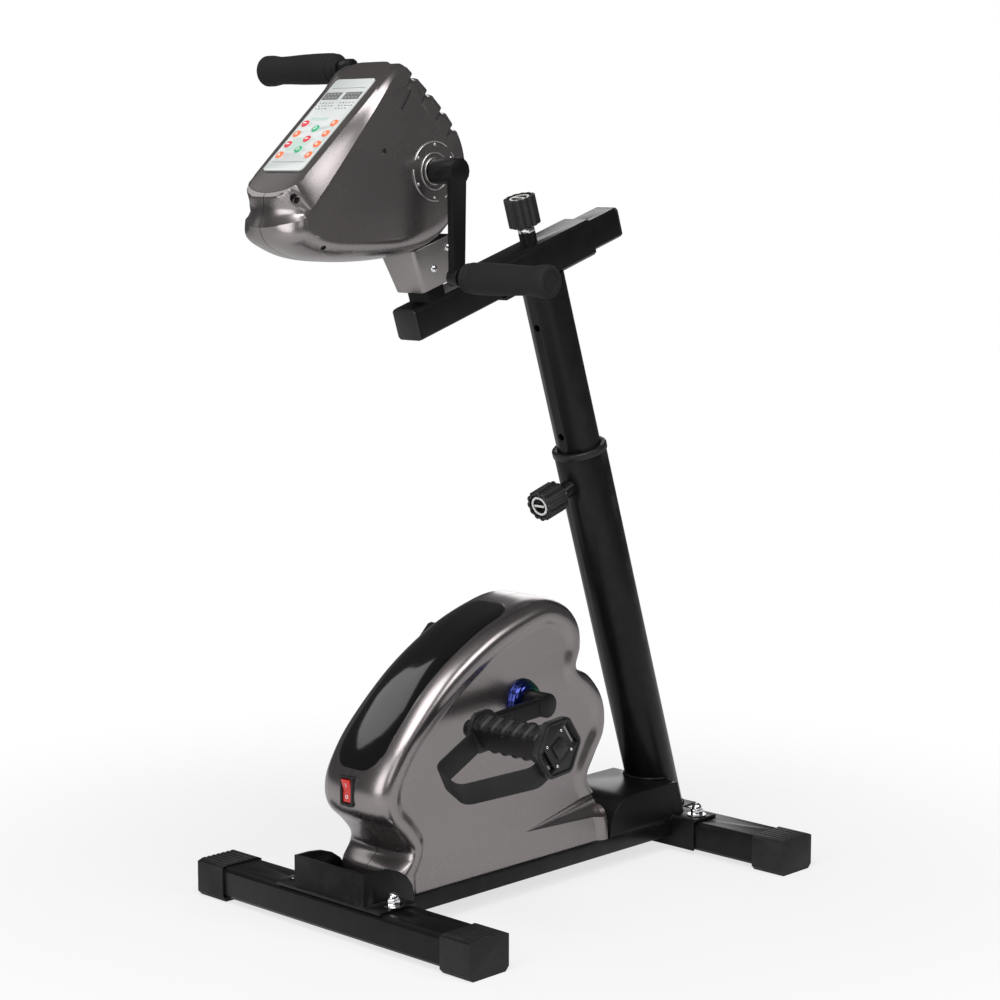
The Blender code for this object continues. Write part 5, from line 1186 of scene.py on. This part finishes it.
# %% Cuts in the head
GROOVES = ((-0.0195, 0.0972), (0.0010, 0.0817), (0.0212, 0.0648), (0.0366, 0.0480))
GROOVE_RADIUS = 0.0066
GROOVE_SLOPE = math.radians(52.0)       # of the back, from level
GROOVE_PATH = (
    # out along X, out along the back's own normal, share of the radius
    (-0.0010, 0.0034, 1.0), (0.0260, 0.0034, 1.0), (0.0400, 0.0010, 1.0), (0.0462, -0.0032, 1.0),
    (0.0500, -0.0085, 0.95), (0.0510, -0.0150, 0.85), (0.0515, -0.0240, 0.60),
)
WELLS = (
    # place from the upper axle, direction out of the skin, radius, depth
    ((0.0490, -0.0699, 0.0195), (1.0, 0.0, 0.0), 0.0028, 0.0040),
    ((0.0430, -0.1474, -0.0745), (0.93, -0.20, -0.30), 0.0026, 0.0040),
    ((0.0330, -0.1740, -0.0275), (0.50, -0.84, 0.22), 0.0044, 0.0065),
)
SLOT_ENDS = ((0.0474, -0.0341, 0.0789), (0.0478, -0.0451, 0.0624))
SLOT_RADIUS = 0.0016


def capsule(name, radius, half_length, where):
    """A round bar along Z with round ends."""
    profile = [(0.0, -half_length - radius)]
    profile += quarter((0.0, -half_length), radius, -75.0, 0.0, 5)
    profile += quarter((0.0, half_length), radius, 0.0, 75.0, 5)
    return turned(name, profile + [(0.0, half_length + radius)], where, 32)


def mirrored(point, side):
    return Vector((side * point[0], point[1], point[2]))


def groove_cutter(name, points, radii):
    """A tapering bar with closed ends, swept along a line of points."""
    curve, line = curve_along(name, "NURBS", points, radii, GROOVE_RADIUS, 6)
    curve.use_fill_caps = True
    line.order_u = 3
    line.use_endpoint_u = True
    piece = as_mesh(name, curve)
    in_edit(piece)
    return outward(piece, Matrix.Identity(4))


for side, word in SIDES:
    skin = bpy.data.objects["head_skin_" + word]
    back = Vector((0.0, math.sin(GROOVE_SLOPE), math.cos(GROOVE_SLOPE)))
    for y, z in GROOVES:
        path = [upper_axle + Vector((side * out, y, z)) + back * rise
                for out, rise, _ in GROOVE_PATH]
        cut_with(skin, groove_cutter("groove", path, [share for _, _, share in GROOVE_PATH]))
    for index, (spot, way, radius, depth) in enumerate(WELLS):
        place = (Matrix.Translation(upper_axle + mirrored(spot, side))
                 @ turn_to(mirrored(way, side)))
        cut_with(skin, rod("well", radius, -depth, 0.012, place, 28, radius * 1.15))
        # A black disc at the floor of each well is painted shade: it darkens the hole's depth.
        base = turned("base", [(0.0, -depth + 0.0006), (radius * 0.85, -depth + 0.0002),
                               (radius * 0.95, -depth - 0.0010), (0.0, -depth - 0.0010)],
                      place, 24)
        finish_piece(base, "well_%s_%d" % (word, index), "reach_bar", "black_rubber")
    start, end = (upper_axle + mirrored(spot, side) for spot in SLOT_ENDS)
    turn = turn_to(end - start)
    cut_with(skin, capsule("slot", SLOT_RADIUS, (end - start).length / 2,
                           Matrix.Translation((start + end) / 2) @ turn))
    # A black capsule just inside each slot is painted shade: it darkens the slot's depth.
    shade = capsule("shade", SLOT_RADIUS * 0.9, (end - start).length / 2,
                    Matrix.Translation((start + end) / 2 - Vector((side * 0.0009, 0.0, 0.0)))
                    @ turn)
    finish_piece(shade, "slot_shade_" + word, "reach_bar", "black_rubber")
    pick_up(skin)
    bpy.ops.object.shade_smooth_by_angle(angle=math.radians(35.0))

# %% [markdown]
# ## Pedals
#
# The tread ends of a pedal carry a row of round knobs. Its end plate has a raised rim,
# a square boss over the spindle's end and four small screws.

# %% Pedal details
PEDAL_TURNS = {"right": math.radians(215.0), "left": math.radians(254.0)}
PEDAL_END, PLATE_RADIUS, PLATE_CORNER = 0.202, 0.033, 0.008
PLATE_SCREW_Y, PLATE_SCREW_Z = 0.0125, 0.0135
HEXAGON_STEPS, SQUARE_STEPS = 5, 4      # facets of each rounded corner
TREAD_HALF, TREAD_KNOB, TREAD_PITCH, TREAD_FIRST, TREAD_KNOBS = 0.019, 0.0064, 0.0150, 0.1085, 6
ACROSS = Matrix(((0, 0, 1, 0), (1, 0, 0, 0), (0, 1, 0, 0), (0, 0, 0, 1)))


def rounded_hexagon(radius, corner):
    points = []
    for index in range(6):
        angle = math.radians(60.0 * index + 30.0)
        middle = radius - corner / math.sin(math.radians(60.0))
        for step in range(HEXAGON_STEPS + 1):
            turn = angle + math.radians(-30.0 + 60.0 * step / HEXAGON_STEPS)
            points.append((middle * math.cos(angle) + corner * math.cos(turn),
                           middle * math.sin(angle) + corner * math.sin(turn)))
    return points


def square(half, corner):
    points = []
    for index, (sx, sy) in enumerate(((1, 1), (-1, 1), (-1, -1), (1, -1))):
        for step in range(SQUARE_STEPS + 1):
            angle = math.radians(90.0 * index + 90.0 * step / SQUARE_STEPS)
            points.append((sx * (half - corner) + corner * math.cos(angle),
                           sy * (half - corner) + corner * math.sin(angle)))
    return points


def plate_slab(side, name, outline, inwards, outwards, where):
    """A slab on a pedal's end plate, from a depth inwards to a height outwards."""
    low, high = PEDAL_END - inwards, PEDAL_END + outwards
    if side < 0:
        low, high = -high, -low
    return slab(name, outline, low, high, where @ ACROSS)


for side, word in SIDES:
    tip = joint_place[word + "_pedal_spin"]
    frame_here = (Matrix.Translation((0.0, tip.y, tip.z))
                  @ Matrix.Rotation(PEDAL_TURNS[word], 4, "X"))
    body = word + "_pedal"
    rim = plate_slab(side, "rim", rounded_hexagon(PLATE_RADIUS - 0.0004, PLATE_CORNER),
                     0.0010, 0.0012, frame_here)
    cut_with(rim, plate_slab(side, "inner",
                             rounded_hexagon(PLATE_RADIUS - 0.0034, PLATE_CORNER - 0.002),
                             0.01, 0.01, frame_here))
    round_edges(rim, 0.0004)
    finish_piece(rim, "plate_rim_" + word, body, "black_plastic")
    boss = plate_slab(side, "boss", square(0.0086, 0.0022), 0.0010, 0.0024, frame_here)
    round_edges(boss, 0.0007)
    finish_piece(boss, "plate_boss_" + word, body, "black_plastic")
    for index, (y, z) in enumerate(((1, 1), (-1, 1), (-1, -1), (1, -1))):
        spot = frame_here @ Vector((side * PEDAL_END, y * PLATE_SCREW_Y, z * PLATE_SCREW_Z))
        pan_screw("plate_screw_%s_%d" % (word, index), body, 0.0017, along_x(spot, side))
    for index in range(TREAD_KNOBS):
        for end, edge in (("a", -1), ("b", 1)):
            place = frame_here @ Matrix.Translation(
                (side * (TREAD_FIRST + index * TREAD_PITCH), 0.0, edge * (TREAD_HALF - 0.0038)))
            knob = capsule("tread", TREAD_KNOB, 0.0060,
                           place @ Matrix.Rotation(math.pi / 2, 4, "X"))
            finish_piece(knob, "tread_%s_%s_%d" % (word, end, index), body, "black_plastic",
                         angle=50.0)
print("pedal pieces", sum(1 for name in made if name.startswith(("plate_", "tread_"))))

# %% [markdown]
# ## The key panel
#
# The panel is a sheet with printed bands, two dark number windows, and rows of small
# marks under each. Its keys are low domes. A plain triangle, bar or ring on each key
# says which sort it is, and there are no words.

# %% Key panel
PANEL_TOP = 0.0023                    # above the console's own plane
WINDOW_LEVEL, WINDOW_COLUMN = 0.0420, 0.0148     # the number windows, from the centre
MARK_LEVEL, MARK_ROWS, MARK_PITCH = 0.0315, 0.0042, 0.0046
LINE_LEVELS, LINE_HALF = {"head_line": 0.0540, "foot_line": -0.0560}, 0.0245
KEY_LOW, KEY_TOP, KEY_RADIUS = 0.0014, 0.0032, 0.0046
KEY_COLUMN, KEY_PITCH, KEY_FIRST = 0.0215, 0.0155, 0.001
LEFT_KEYS, MIDDLE_KEYS = ("red", "orange", "red", "orange"), ("green", "red", "green")


def print_on_panel(name, outline, finish, rise=0.0002):
    piece = slab(name, outline, PANEL_TOP - 0.0002, PANEL_TOP + rise, panel_frame)
    return finish_piece(piece, name, "reach_bar", finish)


def joined(pieces):
    pick_up(pieces[0])
    for piece in pieces:
        piece.select_set(True)
    bpy.ops.object.join()
    return bpy.context.object


def oblong(x, y, half_x, half_y):
    return [(x + half_x, y + half_y), (x - half_x, y + half_y),
            (x - half_x, y - half_y), (x + half_x, y - half_y)]


panel = merged_copy("key_panel")
round_edges(panel, 0.0004)
finish_piece(panel, "panel_sheet", "reach_bar", "white_panel", stands_for=("key_panel",))
for index, column in enumerate((-WINDOW_COLUMN, WINDOW_COLUMN)):
    print_on_panel("window_%d" % index, oblong(column, WINDOW_LEVEL, 0.0118, 0.0052),
                   "display_grey", 0.0004)
    digits = []
    for place in (-0.0075, -0.0025, 0.0025, 0.0075):
        for level in (-0.0024, 0.0024):
            piece = slab("digit", oblong(column + place, WINDOW_LEVEL + level, 0.0014, 0.0011),
                         PANEL_TOP, PANEL_TOP + 0.0005, panel_frame)
            digits.append(piece)
    finish_piece(joined(digits), "digits_%d" % index, "reach_bar", "print_grey")
    marks = []
    for row in range(3):
        for place in range(5 - (row == 2)):
            spot = (column - 0.0092 + MARK_PITCH * place + 0.0012 * (row % 2),
                    MARK_LEVEL - MARK_ROWS * row)
            piece = slab("mark", oblong(*spot, 0.0007 + 0.0004 * ((place + row) % 2), 0.0006),
                         PANEL_TOP - 0.0001, PANEL_TOP + 0.0002, panel_frame)
            marks.append(piece)
    finish_piece(joined(marks), "marks_%d" % index, "reach_bar", "display_grey")
for name, level in LINE_LEVELS.items():
    print_on_panel(name, oblong(0.0, level, LINE_HALF, 0.0003), "print_grey")
for index, (level, half) in enumerate(((0.0075, 0.0022), (-0.0300, 0.0100))):
    print_on_panel("band_%d" % index, oblong(-0.0060, level, 0.0125, half), "pale_green", 0.0001)


def key_dome(name, colour, x, y):
    place = panel_frame @ Matrix.Translation((x, y, 0.0))
    piece = turned("dome", [(0.0, KEY_LOW), (KEY_RADIUS, KEY_LOW), (KEY_RADIUS, KEY_TOP - 0.0007),
                            (KEY_RADIUS - 0.0003, KEY_TOP - 0.0003),
                            (KEY_RADIUS - 0.0010, KEY_TOP - 0.0001),
                            (0.0, KEY_TOP + 0.0001)], place, 32)
    finish_piece(piece, name + "_dome", name + "_cap", "key_" + colour, stands_for=(name,),
                 angle=50.0)
    shapes = {"orange": [(0.0021, -0.0017), (0.0, 0.0021), (-0.0021, -0.0017)],
              "red": oblong(0.0, 0.0, 0.0023, 0.0008),
              "green": [(0.0022 * math.cos(0.3927 * step), 0.0022 * math.sin(0.3927 * step))
                        for step in range(16)]}
    mark = slab("mark", shapes[colour], KEY_TOP - 0.0003, KEY_TOP + 0.0002, place)
    if colour == "green":
        cut_with(mark, rod("hole", 0.0013, 0.0, 0.01, place, 20))
    finish_piece(mark, name + "_mark", name + "_cap", "key_print")


for row in range(4):
    level = KEY_FIRST - row * KEY_PITCH
    key_dome("key_left_%d" % (row + 1), LEFT_KEYS[row], -KEY_COLUMN, level)
    key_dome("key_right_%d" % (row + 1), "orange", KEY_COLUMN, level)
    if row < 3:
        key_dome("key_middle_%d" % (row + 1), MIDDLE_KEYS[row], 0.0, level - KEY_PITCH / 2)
print("keys", sum(1 for name in made if name.endswith("_dome")))

# %% [markdown]
# ## Marks on the power switch
#
# A plain bar on the upper half of the rocker and a plain ring on the lower half.

# %% Switch marks
ROCKER_BULGE = 0.0035
low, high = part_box("power_switch")
rocker_half = (high.z - low.z) / 2 + 0.0005
rocker_centre = Vector((0.0, low.y + ROCKER_BULGE, (low.z + high.z) / 2))
along = Vector((0.0, -ROCKER_BULGE, rocker_half)).normalized()
out = Vector((1.0, 0.0, 0.0)).cross(along)
tilt = Matrix((Vector((1.0, 0.0, 0.0)), along, out)).transposed().to_4x4()
upper = Matrix.Translation(rocker_centre + along * rocker_half * 0.5) @ tilt
bar = slab("bar", oblong(0.0, 0.0, 0.0005, 0.0021), -0.0003, 0.00015, upper)
finish_piece(bar, "rocker_bar", "switch_rocker", "key_print")
lower = (Matrix.Translation(rocker_centre + Vector((0.0, -0.0003, -0.5 * rocker_half)))
         @ Matrix.Rotation(math.pi / 2, 4, "X"))
ring = turned("ring", band(0.0013, 0.0021, -0.0003, 0.00015), lower, 28)
finish_piece(ring, "rocker_ring", "switch_rocker", "key_print")
print("pieces", len(made))

# %% [markdown]
# ## What is left of the frame
#
# Every node that still shows gets the finish of its slot.

# %% Remaining nodes
for node, obj in frame["nodes"].items():
    obj.data.materials.clear()
    obj.data.materials.append(finishes[slot_of_node[node]])
